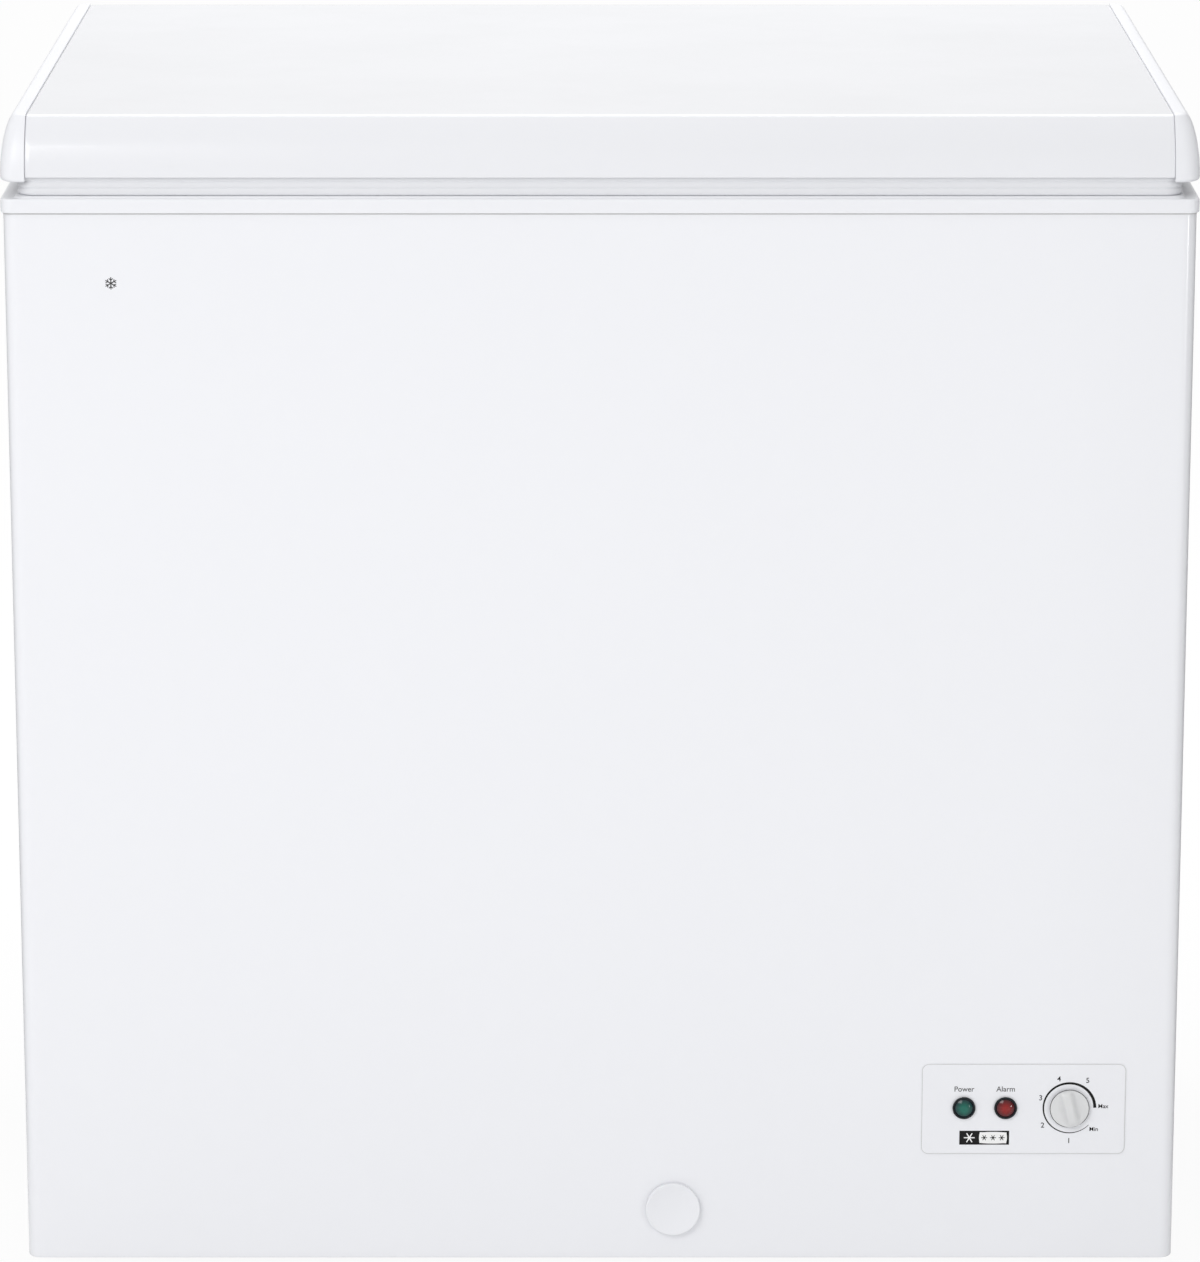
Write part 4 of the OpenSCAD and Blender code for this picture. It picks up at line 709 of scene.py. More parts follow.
def buildEndCap(side):
    e = endCap
    bottom, top, half = e["bottom"], e["top"], e["halfWidth"]
    foot = e["footRound"]
    height = top - bottom - foot
    rows = [(foot * (1 - cosDeg(a)), foot * (1 - cosDeg(a)), bottom + foot - foot * sinDeg(a), 0.0)
            for a in (90, 70, 50, 30, 12)]
    for y, z in leanCurve(bottom + foot, top, e["front"], 16):
        t = min((z - bottom - foot) / height, 1.0)
        flank = e["flank"] * (1 - math.sqrt(max(1 - t * t, 0.0)))
        rows.append((y - e["front"], flank, z, t))
    seam = lid["seam"]
    rings = []
    for insetFront, insetSide, z, t in rows:
        insetBack = min(insetSide, e["rearDraw"]) if t > 0.85 else insetSide * 0.3
        x1 = half - insetSide
        y0 = e["front"] + insetFront
        y1 = e["back"] - insetBack
        rf = min(e["corner"], x1 - seam - 0.0008)
        rb = min(e["rearCorner"], x1 - seam - 0.0008)
        ring = [(seam, y0), (seam + 0.0006, y0)]
        ring += arcPoints(x1 - rf, y0 + rf, rf, -90, 0, 10)
        ring += [(x1, y0 + rf + 0.003), (x1, (y0 + y1) / 2), (x1, y1 - rb - 0.003)]
        ring += arcPoints(x1 - rb, y1 - rb, rb, 0, 90, 8)
        ring += [(seam + 0.0006, y1), (seam, y1)]
        rings.append(raised(ring, z))
    last = rings[-1]
    rings.append([(seam + (x - seam) * 0.6, y, z) for x, y, z in last])
    rings.append([(seam, y, z) for x, y, z in last])
    piece = loftRings("endCapRight" if side > 0 else "endCapLeft", rings, whiteMoulding, closed=False,
                      loop=False)
    reworkMesh(piece, lambda bm: bmesh.ops.dissolve_degenerate(bm, dist=1e-6, edges=bm.edges))
    flipIfInward(piece, Vector((half, 0, (bottom + top) / 2)), Vector((1, 0, 0)))
    thicken(piece, e["wall"])
    roundEdges(piece, e["seamRound"], 60, 35)
    if side < 0:
        placeMesh(piece, Matrix.Scale(-1, 4, (1, 0, 0)))
        piece.data.flip_normals()
    finishPiece(piece, "lid", ["lid_cap_right" if side > 0 else "lid_cap_left"])


seal = {
    "halfWidth": sealHi.x, "width": 0.013, "bottom": sealLo.z, "top": sealHi.z, "corner": 0.012, "ribs": 3,
    "ribDepth": 0.0007}


def buildSeal():
    s = seal
    height = s["top"] - s["bottom"]
    steps = 24
    wave = []
    for i in range(steps + 1):
        t = i / steps
        bulge = abs(math.sin(math.pi * s["ribs"] * t)) ** 0.6
        wave.append((s["ribDepth"] * (1 - bulge), s["bottom"] + height * t))
    outer = [(d, z, s["corner"]) for d, z in wave]
    inner = [(s["width"] - d, z, s["corner"] - 0.002) for d, z in reversed(wave)]
    piece = sweepFrame("lidSeal", outer + inner, s["halfWidth"], (sealHi.y - sealLo.y) / 2, s["corner"],
                       shadedSealVinyl, (sealLo.y + sealHi.y) / 2, sharp=60)
    finishPiece(piece, "lid", ["lid_seal"])


liner = {"flange": 0.0012, "sheet": 0.0009}  # how far the flange lies below the top, and the sheet's wall


def buildLidLiner():
    halfX = (linerHi.x - linerLo.x) / 2
    halfY = (linerHi.y - linerLo.y) / 2
    y = (linerHi.y + linerLo.y) / 2
    low, high = linerLo.z, linerHi.z
    flange = high - liner["flange"]
    foot = [v.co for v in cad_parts["lid_inner_panel"].data.vertices if v.co.z < low + 0.0001]
    bulgeX = max(v.x for v in foot)
    bulgeY = (max(v.y for v in foot) - min(v.y for v in foot)) / 2
    rows = [(halfX - d, halfY - d, 0.01 + d, flange) for d in (0.0, 0.002)]
    for grow, z, r in ((0.006, flange, 0.046), (0.0022, flange - 0.0008, 0.042),
                       (0.0004, flange - 0.0032, 0.04), (0.0, flange - 0.007, 0.04), (0.0, low + 0.003, 0.04),
                       (-0.0004, low + 0.001, 0.0396), (-0.0014, low + 0.0001, 0.0386),
                       (-0.004, low, 0.036), (-0.03, low, 0.02)):
        rows.append((bulgeX + grow, bulgeY + grow, r, z))
    rings = [[(px, py + y, z) for px, py in roundedLoop(wide, deep, r)] for wide, deep, r, z in rows]
    piece = loftRings("lidLiner", rings, linerPlastic, closed=False, sharp=35)

    def onBulge(edge):
        return edge.is_boundary and all(
            abs(v.co.x) < bulgeX and abs(v.co.y - y) < bulgeY for v in edge.verts)

    reworkMesh(piece, lambda bm: bmesh.ops.holes_fill(bm, edges=list(filter(onBulge, bm.edges)), sides=0))
    flipIfInward(piece, Vector((0, y, low)), Vector((0, 0, -1)))
    thicken(piece, liner["sheet"])
    smoothFaces(piece, 35)
    finishPiece(piece, "lid", ["lid_inner_panel"])


buildLidSkin()
buildEndCap(1)
buildEndCap(-1)
buildSeal()
buildLidLiner()
print("freezer: lid made")


panel = {
    "x": (panelLo.x + panelHi.x) / 2, "z": (panelLo.z + panelHi.z) / 2, "front": panelHi.y,
    "halfX": (panelHi.x - panelLo.x) / 2, "halfZ": (panelHi.z - panelLo.z) / 2, "corner": 0.005,
    "rise": 0.0005, "edgeRound": 0.0004, "shadeLineInset": 0.0001, "shadeLineWidth": 0.0004,
    "lampHole": 0.0071, "knobHole": 0.0051, "label": 0.0053, "labelRise": 0.0135, "ink": 0.00004}
dial = {
    "radius": 0.0187, "thin": 0.00035, "thick": 0.0021, "start": -43,
    "numbers": ((1, -90, 0.0243), (2, 215, 0.0226), (3, 160.6, 0.0213), (4, 109.7, 0.0223), (5, 58, 0.0234)),
    "numberSize": 0.0053, "wordSize": 0.0042, "max": (0.0235, 0.001), "min": (0.0172, -0.0158),
    "bold": 0.00004}
lampLo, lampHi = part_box("power_lamp")
alarmLo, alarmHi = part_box("alarm_lamp")
knobLo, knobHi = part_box("thermostat_knob")
faceY = panelLo.y


powerX, lampZ = middle(lampLo, lampHi)
alarmX = middle(alarmLo, alarmHi)[0]
knobX, knobZ = middle(knobLo, knobHi)
panelFace = panel["front"] - panel["rise"]  # where the plate's face ends up


def buildPanel():
    p = panel
    rise, r = p["rise"], p["edgeRound"]
    rows = [(0.0004, -0.0002), (0.0, 0.0), (0.0, rise - r)]
    rows += [(r - r * cosDeg(a), rise - r + r * sinDeg(a)) for a in (30, 60, 90)]
    rows += [(r + 0.0008, rise), (0.006, rise)]
    rings = [raised(roundedLoop(p["halfX"] - d, p["halfZ"] - d, max(p["corner"] - d, 0.001), 8, 0.0006), z)
             for d, z in rows]
    plate = loftRings("controlPlate", rings, whiteMoulding, closed=False, sharp=35)
    capEnds(plate)
    placeMesh(plate, facingFront(p["x"], p["front"], p["z"]))
    cutters = []
    for x, z, radius in ((powerX, lampZ, p["lampHole"]), (alarmX, lampZ, p["lampHole"]),
                         (knobX, knobZ, p["knobHole"])):
        cutters.append(placeMesh(drillBit(radius, 0.01, whiteMoulding), facingFront(x, p["front"], z)))
    cutWith(plate, cutters)
    smoothFaces(plate, 35)
    finishPiece(plate, "case", ["control_panel"])


def writeText(words, size, x, z, material):
    curve = bpy.data.curves.new(words, "FONT")
    curve.body = words
    curve.size = size
    curve.align_x = "CENTER"
    curve.align_y = "CENTER"
    curve.extrude = panel["ink"] / 2
    curve.offset = dial["bold"]
    flat = addMesh(words, curve)
    bpy.context.view_layer.update()
    depsgraph = bpy.context.evaluated_depsgraph_get()
    mesh = bpy.data.meshes.new_from_object(flat.evaluated_get(depsgraph))
    bpy.data.objects.remove(flat)
    mesh.materials.clear()
    return placeMesh(addMesh(words, mesh, material), facingFront(x, panelFace - panel["ink"], z))


def starArm(x0, y0, x1, y1, width):  # a bar that is a little narrower at its tip
    a = Vector((x0, y0))
    b = Vector((x1, y1))
    along = (b - a).normalized()
    across = Vector((-along.y, along.x)) * width / 2
    return [a + across, a - across, b - across * 0.8, b + across * 0.8]


def starShape(name, radius, width, material, branch=0.0, turn=90):  # arms differ by a micron, so none fight
    arms = []
    for k in range(6):
        a = turn + 60 * k
        x, y = radius * cosDeg(a), radius * sinDeg(a)
        arms.append((starArm(0, 0, x, y, width), 0.00004 + 0.000001 * k))
        for b in (a - 50, a + 50) if branch else ():
            fx, fy = x * 0.52, y * 0.52
            arms.append((starArm(fx, fy, fx + cosDeg(b) * branch, fy + sinDeg(b) * branch, width * 0.85),
                         0.00005 + 0.000001 * k))
    return flatShape(name, arms, material)


storage = {
    "x": -0.027, "z": -0.021, "halfX": 0.01735, "halfZ": 0.0051, "boxLeft": -0.0034, "boxRight": 0.0156,
    "boxHalfZ": 0.0041, "bowX": 0.0005, "bowZ": 0.0006, "star": 0.0021, "starWidth": 0.0006,
    "bigStar": 0.0038, "bigStarX": -0.0104, "step": 0.0061}


def buildStorageMark():  # four-star sign: black bar, one white star, then three black stars in a white box
    s = storage
    x, z, lift, ink = panel["x"] + s["x"], panel["z"] + s["z"], panelFace - 0.00003, panel["ink"]
    halfX, halfZ, left, right, up = s["halfX"], s["halfZ"], s["boxLeft"], s["boxRight"], s["boxHalfZ"]
    outline = []
    box = ((left, -up), (right, -up), (right, up), (left, up))
    for (x0, y0), (x1, y1), bow in zip(box, box[1:] + box[:1], (s["bowX"], s["bowZ"]) * 2):
        out = Vector((y1 - y0, x0 - x1)).normalized()
        for t in (i / 8 for i in range(8)):
            b = bow * (4 * t * (1 - t)) - bow * 0.6
            outline.append((x0 + (x1 - x0) * t + out.x * b, y0 + (y1 - y0) * t + out.y * b))
    corners = [(-halfX, -halfZ), (halfX, -halfZ), (halfX, halfZ), (-halfX, halfZ)]
    parts = [placeMesh(flatShape("bar", [(corners, ink)], inkBlack), facingFront(x, lift, z)),
             placeMesh(flatShape("box", [(outline, ink)], inkWhite), facingFront(x, lift - ink, z)),
             placeMesh(starShape("white", s["bigStar"], s["starWidth"] * 1.5, inkWhite, turn=0),
                       facingFront(x + s["bigStarX"], lift - ink, z))]
    for k in (-1, 0, 1):
        star = starShape("star", s["star"], s["starWidth"], inkBlack, turn=0)
        parts.append(placeMesh(star, facingFront(x + (left + right) / 2 + s["step"] * k, lift - 2 * ink, z)))
    return parts


def buildPrints():
    d = dial
    ink = panel["ink"]
    steps = 90
    rings = []
    for t in (i / steps for i in range(steps + 1)):  # clockwise from Min to Max, growing thicker
        a = d["start"] - (360 + d["start"]) * t
        inner = d["radius"] - d["thin"] - (d["thick"] - d["thin"]) * t
        rings.append([(r * cosDeg(a), r * sinDeg(a), h)
                      for r, h in ((d["radius"], 0), (inner, 0), (inner, ink), (d["radius"], ink))])
    arc = loftRings("arc", rings, inkBlack, closed=False)
    capEnds(arc)
    parts = buildStorageMark() + [placeMesh(arc, facingFront(knobX, panelFace - 0.00003, knobZ))]
    for number, angle, radius in d["numbers"]:
        parts.append(writeText(str(number), d["numberSize"], knobX + radius * cosDeg(angle),
                               knobZ + radius * sinDeg(angle), inkBlack))
    for word, (dx, dz) in (("Max", d["max"]), ("Min", d["min"])):
        parts.append(writeText(word, d["wordSize"], knobX + dx, knobZ + dz, inkBlack))
    for word, x in (("Power", powerX), ("Alarm", alarmX)):
        parts.append(writeText(word, panel["label"], x, lampZ + panel["labelRise"], markAndShadeGrey))
    finishPiece(joinPieces("panelPrint", parts), "case")
    # a thin grey line round the plate: painted shade along its edge
    a, b = panel["shadeLineInset"], panel["shadeLineInset"] + panel["shadeLineWidth"]
    rings = [raised(roundedLoop(panel["halfX"] - d, panel["halfZ"] - d, panel["corner"] - d, 8), z)
             for d, z in ((a, 0.0), (a, ink), (b, ink), (b, 0.0))]
    outline = loftRings("panelOutline", rings, edgeShadeGrey)
    placeMesh(outline, facingFront(panel["x"], panelFace - 0.00001, panel["z"]))
    finishPiece(outline, "case")


lamp = {
    "outer": 0.008, "rimHeight": 0.001, "lens": 0.0063, "sleeve": 0.0071, "dome": 0.0022, "rimRound": 0.0005,
    "green": ((0.0, 0.12, 0.085, 1), (0.0, 0.016, 0.022, 1)),  # painted lit middle, painted shaded edge
    "red": ((0.24, 0.004, 0.003, 1), (0.04, 0.001, 0.004, 1)), "core": 0.3, "glow": 0.05}


def buildLamps():
    outer, r, high, lens, sleeve = (lamp[key] for key in ("outer", "rimRound", "rimHeight", "lens", "sleeve"))
    rim = [(sleeve, -0.010), (sleeve, 0.0), (outer, 0.0), (outer, high - r)]
    rim += [(outer - r + r * cosDeg(a), high - r + r * sinDeg(a)) for a in (30, 60, 90)]
    rim += [(lens + 0.0005, high), (lens + 0.0002, high - 0.0003), (lens + 0.0001, -0.010), (sleeve, -0.010)]
    bezels = [placeMesh(lathe("bezel", rim, rimPlastic, 72, 35), facingFront(x, faceY, lampZ))
              for x in (powerX, alarmX)]
    finishPiece(joinPieces("lampBezels", bezels), "case", ["lamp_bezels"])
    dome = lamp["dome"]
    ball = (lens ** 2 + dome ** 2) / (2 * dome)
    reach = math.degrees(math.asin(lens / ball))
    glass = [(ball * sinDeg(reach * i / 12), 0.0006 + dome - ball + ball * cosDeg(reach * i / 12))
             for i in range(13)] + [(lens, -0.008), (0.0, -0.008)]
    for name, x, material, colour, node in (("powerLens", powerX, greenLens, "green", "power_lamp"),
                                            ("alarmLens", alarmX, redLens, "red", "alarm_lamp")):
        addLensGlow(material, (x, faceY - dome, lampZ), lens * 1.02, *lamp[colour])
        piece = placeMesh(lathe(name, glass, material, 72, 35), facingFront(x, faceY, lampZ))
        finishPiece(piece, "case", [node])


# line is the width of the dark ring round the knob's rim: painted shadow of the gap
knob = {
    "radius": 0.0135, "skirt": 0.0018, "top": faceY - knobLo.y, "ridgeWidth": 0.0042, "tilt": 14.0,
    "edge": 0.0006, "dish": 0.0003, "line": 0.00028}


def knobHeight(x, y):  # soft-sided ridge that runs out at both ends, on a slightly dished disc
    r = math.hypot(x, y)
    radius, edge = knob["radius"], knob["edge"]
    into = max(r - (radius - edge), 0.0) / edge
    drop = edge * (1 - math.sqrt(max(1 - into * into, 0.0)))
    shape = 1.0 / (1.0 + (abs(x) / knob["ridgeWidth"]) ** 5)
    fade = math.sqrt(max(1.0 - (abs(y) / radius) ** 2, 0.0))
    dish = knob["dish"] * (1 - (r / radius) ** 2)
    return knob["skirt"] - dish * (1 - shape) + (knob["top"] - knob["skirt"]) * shape * fade - drop


def buildKnob():
    radius, edge, skirt = knob["radius"], knob["edge"], knob["skirt"]
    steps, rows = 144, 34
    radii = [radius * (i / rows) for i in range(1, rows)]
    radii = [r for r in radii if r < radius - edge]
    radii += [radius - edge * (1 - sinDeg(a)) for a in (0, 22, 45, 67, 90)]
    rings = [[Vector((0, 0, knob["top"]))]]
    for r in radii:
        rings.append([Vector((v.x, v.y, knobHeight(v.x, v.y))) for v in ringPoints(r, 0.0, steps)])
    rings += [ringPoints(radius, 0.0006, steps), ringPoints(radius - 0.0008, 0.0003, steps),
              [Vector((0, 0, 0.0003))]]
    place = facingFront(knobX, faceY, knobZ)
    piece = stackRings("thermostatKnob", rings, knobPlastic, 50)
    placeMesh(piece, place @ Matrix.Rotation(math.radians(knob["tilt"]), 4, "Z"))
    finishPiece(piece, "knob", ["thermostat_knob"])
    # a thin dark ring at the knob's rim: painted shadow of the gap between knob and plate
    near, far, high = radius - 0.0001, radius + knob["line"], skirt - 0.0001
    line = lathe("knobOutline", [(near, high - 0.0006), (far, high - 0.0006), (far, high), (near, high),
                                 (near, high - 0.0006)], markAndShadeGrey, 96)
    finishPiece(placeMesh(line, place), "case")


buildPanel()
buildPrints()
buildLamps()
buildKnob()
print("freezer: control panel made")


emblem = {"fromLeft": 0.072, "belowBand": 0.047, "radius": 0.0042, "width": 0.0008, "branch": 0.0018}
drainCap = {"thick": 0.004, "rim": 0.0014, "dish": 0.0026, "stem": 0.0069, "stemLength": 0.018}


def buildEmblem():
    flake = starShape("frostEmblem", emblem["radius"], emblem["width"], markAndShadeGrey, emblem["branch"])
    placeMesh(flake, facingFront(wrapLo.x + emblem["fromLeft"], wrapLo.y - 0.00002,
                                 wrapHi.z - emblem["belowBand"]))
    finishPiece(flake, "case")


def buildDrainCap():
    lo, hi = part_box("drain_cap")
    x, z = middle(lo, hi)
    d = drainCap
    radius, thick, rim, stem = (hi.x - lo.x) / 2, d["thick"], d["rim"], d["stem"]
    r = 0.0006
    dishR = radius - rim
    ball = (dishR ** 2 + d["dish"] ** 2) / (2 * d["dish"])
    dish = []
    for i in range(15):
        x0 = dishR * i / 14
        dish.append((x0, thick - d["dish"] + ball - math.sqrt(ball * ball - x0 * x0)))
    profile = dish[:-1] + [(dishR + 0.0001, thick - 0.0001), (dishR + 0.0004, thick)]
    profile += [(radius - r + r * sinDeg(a), thick - r + r * cosDeg(a))
                for a in (20, 45, 70, 90)]
    profile += [(radius, 0.0008), (radius - 0.0005, 0.0003), (stem + 0.0008, 0.0003), (stem, -0.0006),
                (stem, -d["stemLength"] + 0.001), (stem - 0.001, -d["stemLength"]),
                (stem - 0.002, -d["stemLength"]), (stem - 0.002, -0.002), (0.0, -0.002)]
    piece = lathe("drainCap", profile, whiteMoulding, 96, 30)
    placeMesh(piece, facingFront(x, wrapLo.y, z))
    finishPiece(piece, "drain_cap", ["drain_cap"])


buildEmblem()
buildDrainCap()
print("freezer: mark and drain cap made")


def startNodes(name, inputs):
    group = bpy.data.node_groups.new(name, "GeometryNodeTree")
    for label, kind in {"Geometry": "Geometry", **inputs}.items():
        group.interface.new_socket(label, in_out="INPUT", socket_type="NodeSocket" + kind)
    group.interface.new_socket("Geometry", in_out="OUTPUT", socket_type="NodeSocketGeometry")
    return group, group.nodes.new("NodeGroupInput"), group.nodes.new("NodeGroupOutput")


def endNodes(group, start, end, source, output):
    real = addNode(group, "GeometryNodeRealizeInstances")
    finish = addNode(group, "GeometryNodeSetMaterial")
    addLinks(group, (source, output, real, "Geometry"), (real, "Geometry", finish, "Geometry"),
             (start, "Finish", finish, "Material"), (finish, "Geometry", end, "Geometry"))
    return group


def runNodes(base, group, values, sharp=40):
    modifier = base.modifiers.new(group.name, "NODES")
    modifier.node_group = group
    for item in group.interface.items_tree:
        if item.item_type == "SOCKET" and item.in_out == "INPUT" and item.name in values:
            modifier[item.identifier] = values[item.name]
    bpy.context.view_layer.update()
    settle(base)
    smoothFaces(base, sharp)
    return base


def makeWireNodes():  # round wires along the edges of a line drawing
    group, start, end = startNodes("Bent Wires", {
        "Radius": "Float", "Sides": "Int", "Bend": "Float", "Finish": "Material"})
    curve = addNode(group, "GeometryNodeMeshToCurve")
    fillet = addNode(group, "GeometryNodeFilletCurve", mode="POLY")
    fillet.inputs["Count"].default_value = 5
    fillet.inputs["Limit Radius"].default_value = True
    ring = addNode(group, "GeometryNodeCurvePrimitiveCircle")
    tube = addNode(group, "GeometryNodeCurveToMesh", {"Fill Caps": True})
    addLinks(group, (start, "Geometry", curve, "Mesh"), (curve, "Curve", fillet, "Curve"),
             (start, "Bend", fillet, "Radius"), (start, "Radius", ring, "Radius"),
             (start, "Sides", ring, "Resolution"), (fillet, "Curve", tube, "Curve"),
             (ring, "Curve", tube, "Profile Curve"))
    return endNodes(group, start, end, tube, "Mesh")


def makeCopyNodes():  # a copy of one piece at every point, each turned a little about its own axis
    group, start, end = startNodes("Placed Copies", {
        "Original": "Object", "Turn Spread": "Float", "Seed": "Int", "Finish": "Material"})
    points = addNode(group, "GeometryNodeMeshToPoints")
    info = addNode(group, "GeometryNodeObjectInfo")
    copies = addNode(group, "GeometryNodeInstanceOnPoints")
    spin = addNode(group, "FunctionNodeRandomValue", data_type="FLOAT")
    negative = addNode(group, "ShaderNodeMath", {1: -1.0}, operation="MULTIPLY")
    join = addNode(group, "ShaderNodeCombineXYZ")
    addLinks(group, (start, "Geometry", points, "Mesh"), (start, "Original", info, "Object"),
             (start, "Turn Spread", negative, 0), (negative, 0, spin, 2), (start, "Turn Spread", spin, 3),
             (start, "Seed", spin, "Seed"), (spin, 1, join, "Y"), (points, "Points", copies, "Points"),
             (info, "Geometry", copies, "Instance"), (join, 0, copies, "Rotation"))
    return endNodes(group, start, end, copies, "Instances")


def makeSpringNodes():  # a coil of round wire standing on every point
    group, start, end = startNodes("Coil Springs", {
        "Turns": "Float", "Radius": "Float", "Height": "Float", "Wire": "Float", "Finish": "Material"})
    points = addNode(group, "GeometryNodeMeshToPoints")
    spiral = addNode(group, "GeometryNodeCurveSpiral", {"Resolution": 28})
    ring = addNode(group, "GeometryNodeCurvePrimitiveCircle", {"Resolution": 10})
    tube = addNode(group, "GeometryNodeCurveToMesh", {"Fill Caps": True})
    copies = addNode(group, "GeometryNodeInstanceOnPoints")
    addLinks(group, (start, "Geometry", points, "Mesh"), (start, "Turns", spiral, "Rotations"),
             (start, "Radius", spiral, "Start Radius"), (start, "Radius", spiral, "End Radius"),
             (start, "Height", spiral, "Height"), (start, "Wire", ring, "Radius"),
             (spiral, "Curve", tube, "Curve"), (ring, "Curve", tube, "Profile Curve"),
             (points, "Points", copies, "Points"), (tube, "Mesh", copies, "Instance"))
    return endNodes(group, start, end, copies, "Instances")


def lineSet(name, lines, joined=True):  # a mesh of open lines, or of their points alone
    verts, edges = [], []
    for line in lines:
        start = len(verts)
        verts += [tuple(p) for p in line]
        edges += [(start + i, start + i + 1) for i in range(len(line) - 1)] if joined else []
    mesh = bpy.data.meshes.new(name)
    mesh.from_pydata(verts, edges, [])
    return addMesh(name, mesh)


basket = {
    "longWires": 7, "crossWires": 13, "wire": 0.0018, "rod": 0.0026, "corner": 0.012, "hookReach": 0.024,
    "rimDrop": 0.024}


def buildBasket(wireNodes):
    b = basket
    lo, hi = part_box("wire_basket")
    w, rod = b["wire"], b["rod"]
    lap = 2 * w
    x0, x1 = lo.x + lap, hi.x - lap
    y0, y1 = lo.y + b["hookReach"], hi.y - b["hookReach"]
    floor = lo.z + w
    hookZ = hi.z - rod
    rimZ = wrapHi.z - b["rimDrop"]
    thin = []
    for i in range(b["longWires"]):
        x = x0 + 0.012 + (x1 - x0 - 0.024) * i / (b["longWires"] - 1)
        thin.append([(x, y0, rimZ), (x, y0, floor), (x, y1, floor), (x, y1, rimZ)])
    for i in range(b["crossWires"]):
        y = y0 + 0.02 + (y1 - y0 - 0.04) * i / (b["crossWires"] - 1)
        thin.append([(x0, y, rimZ), (x0, y, floor + lap), (x1, y, floor + lap), (x1, y, rimZ)])
    wires = runNodes(lineSet("basketWires", thin), wireNodes,
                     {"Radius": w, "Sides": 10, "Bend": b["corner"], "Finish": coatedWire}, 60)
    heavy = []
    for z in (rimZ - w, (rimZ + floor) / 2):
        heavy.append([(0.5 * (x0 + x1), y0, z), (x1, y0, z), (x1, y1, z), (x0, y1, z), (x0, y0, z),
                      (0.5 * (x0 + x1), y0, z)])
    for side, y, out in ((-1, y0, lo.y), (1, y1, hi.y)):
        for x in (x0 + (x1 - x0) * 0.2, x1 - (x1 - x0) * 0.2):
            inside = y - side * 2 * w
            heavy.append([(x, inside, floor + lap), (x, inside, hookZ), (x, out - side * 0.0005, hookZ)])
    rods = runNodes(lineSet("basketRods", heavy), wireNodes, {
        "Radius": rod - 0.0001, "Sides": 12, "Bend": b["corner"] * 0.8, "Finish": coatedWire}, 60)
    finishPiece(joinPieces("wireBasket", [wires, rods]), "basket", ["wire_basket"])


screw = {"head": 0.004, "headHeight": 0.0016, "slot": 0.0009, "slotDepth": 0.0007, "shank": 0.002,
         "length": 0.0078}


def makeScrew():  # pan head with a cross recess, pointing along +Y
    s = screw
    profile = [(0.0, s["headHeight"] * 0.94)]
    profile += [(s["head"] * sinDeg(a) * 0.98,
                 s["headHeight"] * (0.35 + 0.6 * cosDeg(a))) for a in (15, 30, 45, 60, 75)]
    profile += [(s["head"], s["headHeight"] * 0.35), (s["head"], 0.0), (s["shank"], 0.0),
                (s["shank"], -s["length"]), (0.0, -s["length"])]
    head = lathe("screwMaster", profile, zincPlate, 28, 40)
    cutters = []
    long, wide, deep = s["head"] * 1.15 / 2, s["slot"] / 2, s["slotDepth"]
    for turn in (0, 90):
        block = flatShape("slot", [([(-long, -wide), (long, -wide), (long, wide), (-long, wide)], 2 * deep)],
                          zincPlate)
        cutters.append(placeMesh(block, Matrix.Translation((0, 0, s["headHeight"] - deep))
                                 @ Matrix.Rotation(math.radians(turn), 4, "Z")))
    cutWith(head, cutters)
    return placeMesh(head, Matrix.Rotation(math.radians(-90), 4, "X"))


def looseBoxes(name):  # the box of each loose part of a CAD node
    bm = bmesh.new()
    bm.from_mesh(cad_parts[name].data)
    bmesh.ops.remove_doubles(bm, verts=bm.verts, dist=1e-6)
    seen, boxes = set(), []
    for vert in bm.verts:
        stack, members = [vert], []
        while stack:
            v = stack.pop()
            if v.index not in seen:
                seen.add(v.index)
                members.append(v.co.copy())
                stack += [edge.other_vert(v) for edge in v.link_edges]
        if members:
            boxes.append([Vector((pick(m[i] for m in members) for i in range(3))) for pick in (min, max)])
    bm.free()
    return boxes


def buildScrews(copyNodes):
    master = makeScrew()
    for name, node, body in (("coverScrews", "bay_cover_screws", "case"),
                             ("channelScrews", "channel_screws", "case"), ("armScrews", "arm_screws", "lid")):
        places = []
        for lo, hi in looseBoxes(node):
            x, z = middle(lo, hi)
            places.append((x, hi.y - screw["headHeight"], z))
        piece = runNodes(lineSet(name, [places], joined=False), copyNodes,
                         {"Original": master, "Turn Spread": 1.5, "Seed": 7, "Finish": zincPlate}, 40)
        finishPiece(piece, body, [node])
    bpy.data.objects.remove(master)


spring = {"turns": 8.0, "radius": 0.0055, "wire": 0.0011}


def buildSprings(springNodes):
    wire = spring["wire"]
    boxes = looseBoxes("hinge_springs")
    places = [((lo.x + hi.x) / 2, (lo.y + hi.y) / 2, lo.z + wire) for lo, hi in boxes]
    height = boxes[0][1].z - boxes[0][0].z - 2 * wire
    piece = runNodes(lineSet("hingeSprings", [places], joined=False), springNodes, {
        "Turns": spring["turns"], "Radius": spring["radius"] - 0.0001, "Height": height, "Wire": wire,
        "Finish": springSteel}, 60)
    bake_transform(piece)
    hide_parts("hinge_springs")


buildBasket(makeWireNodes())
buildScrews(makeCopyNodes())
buildSprings(makeSpringNodes())
print("freezer: repeated pieces made")


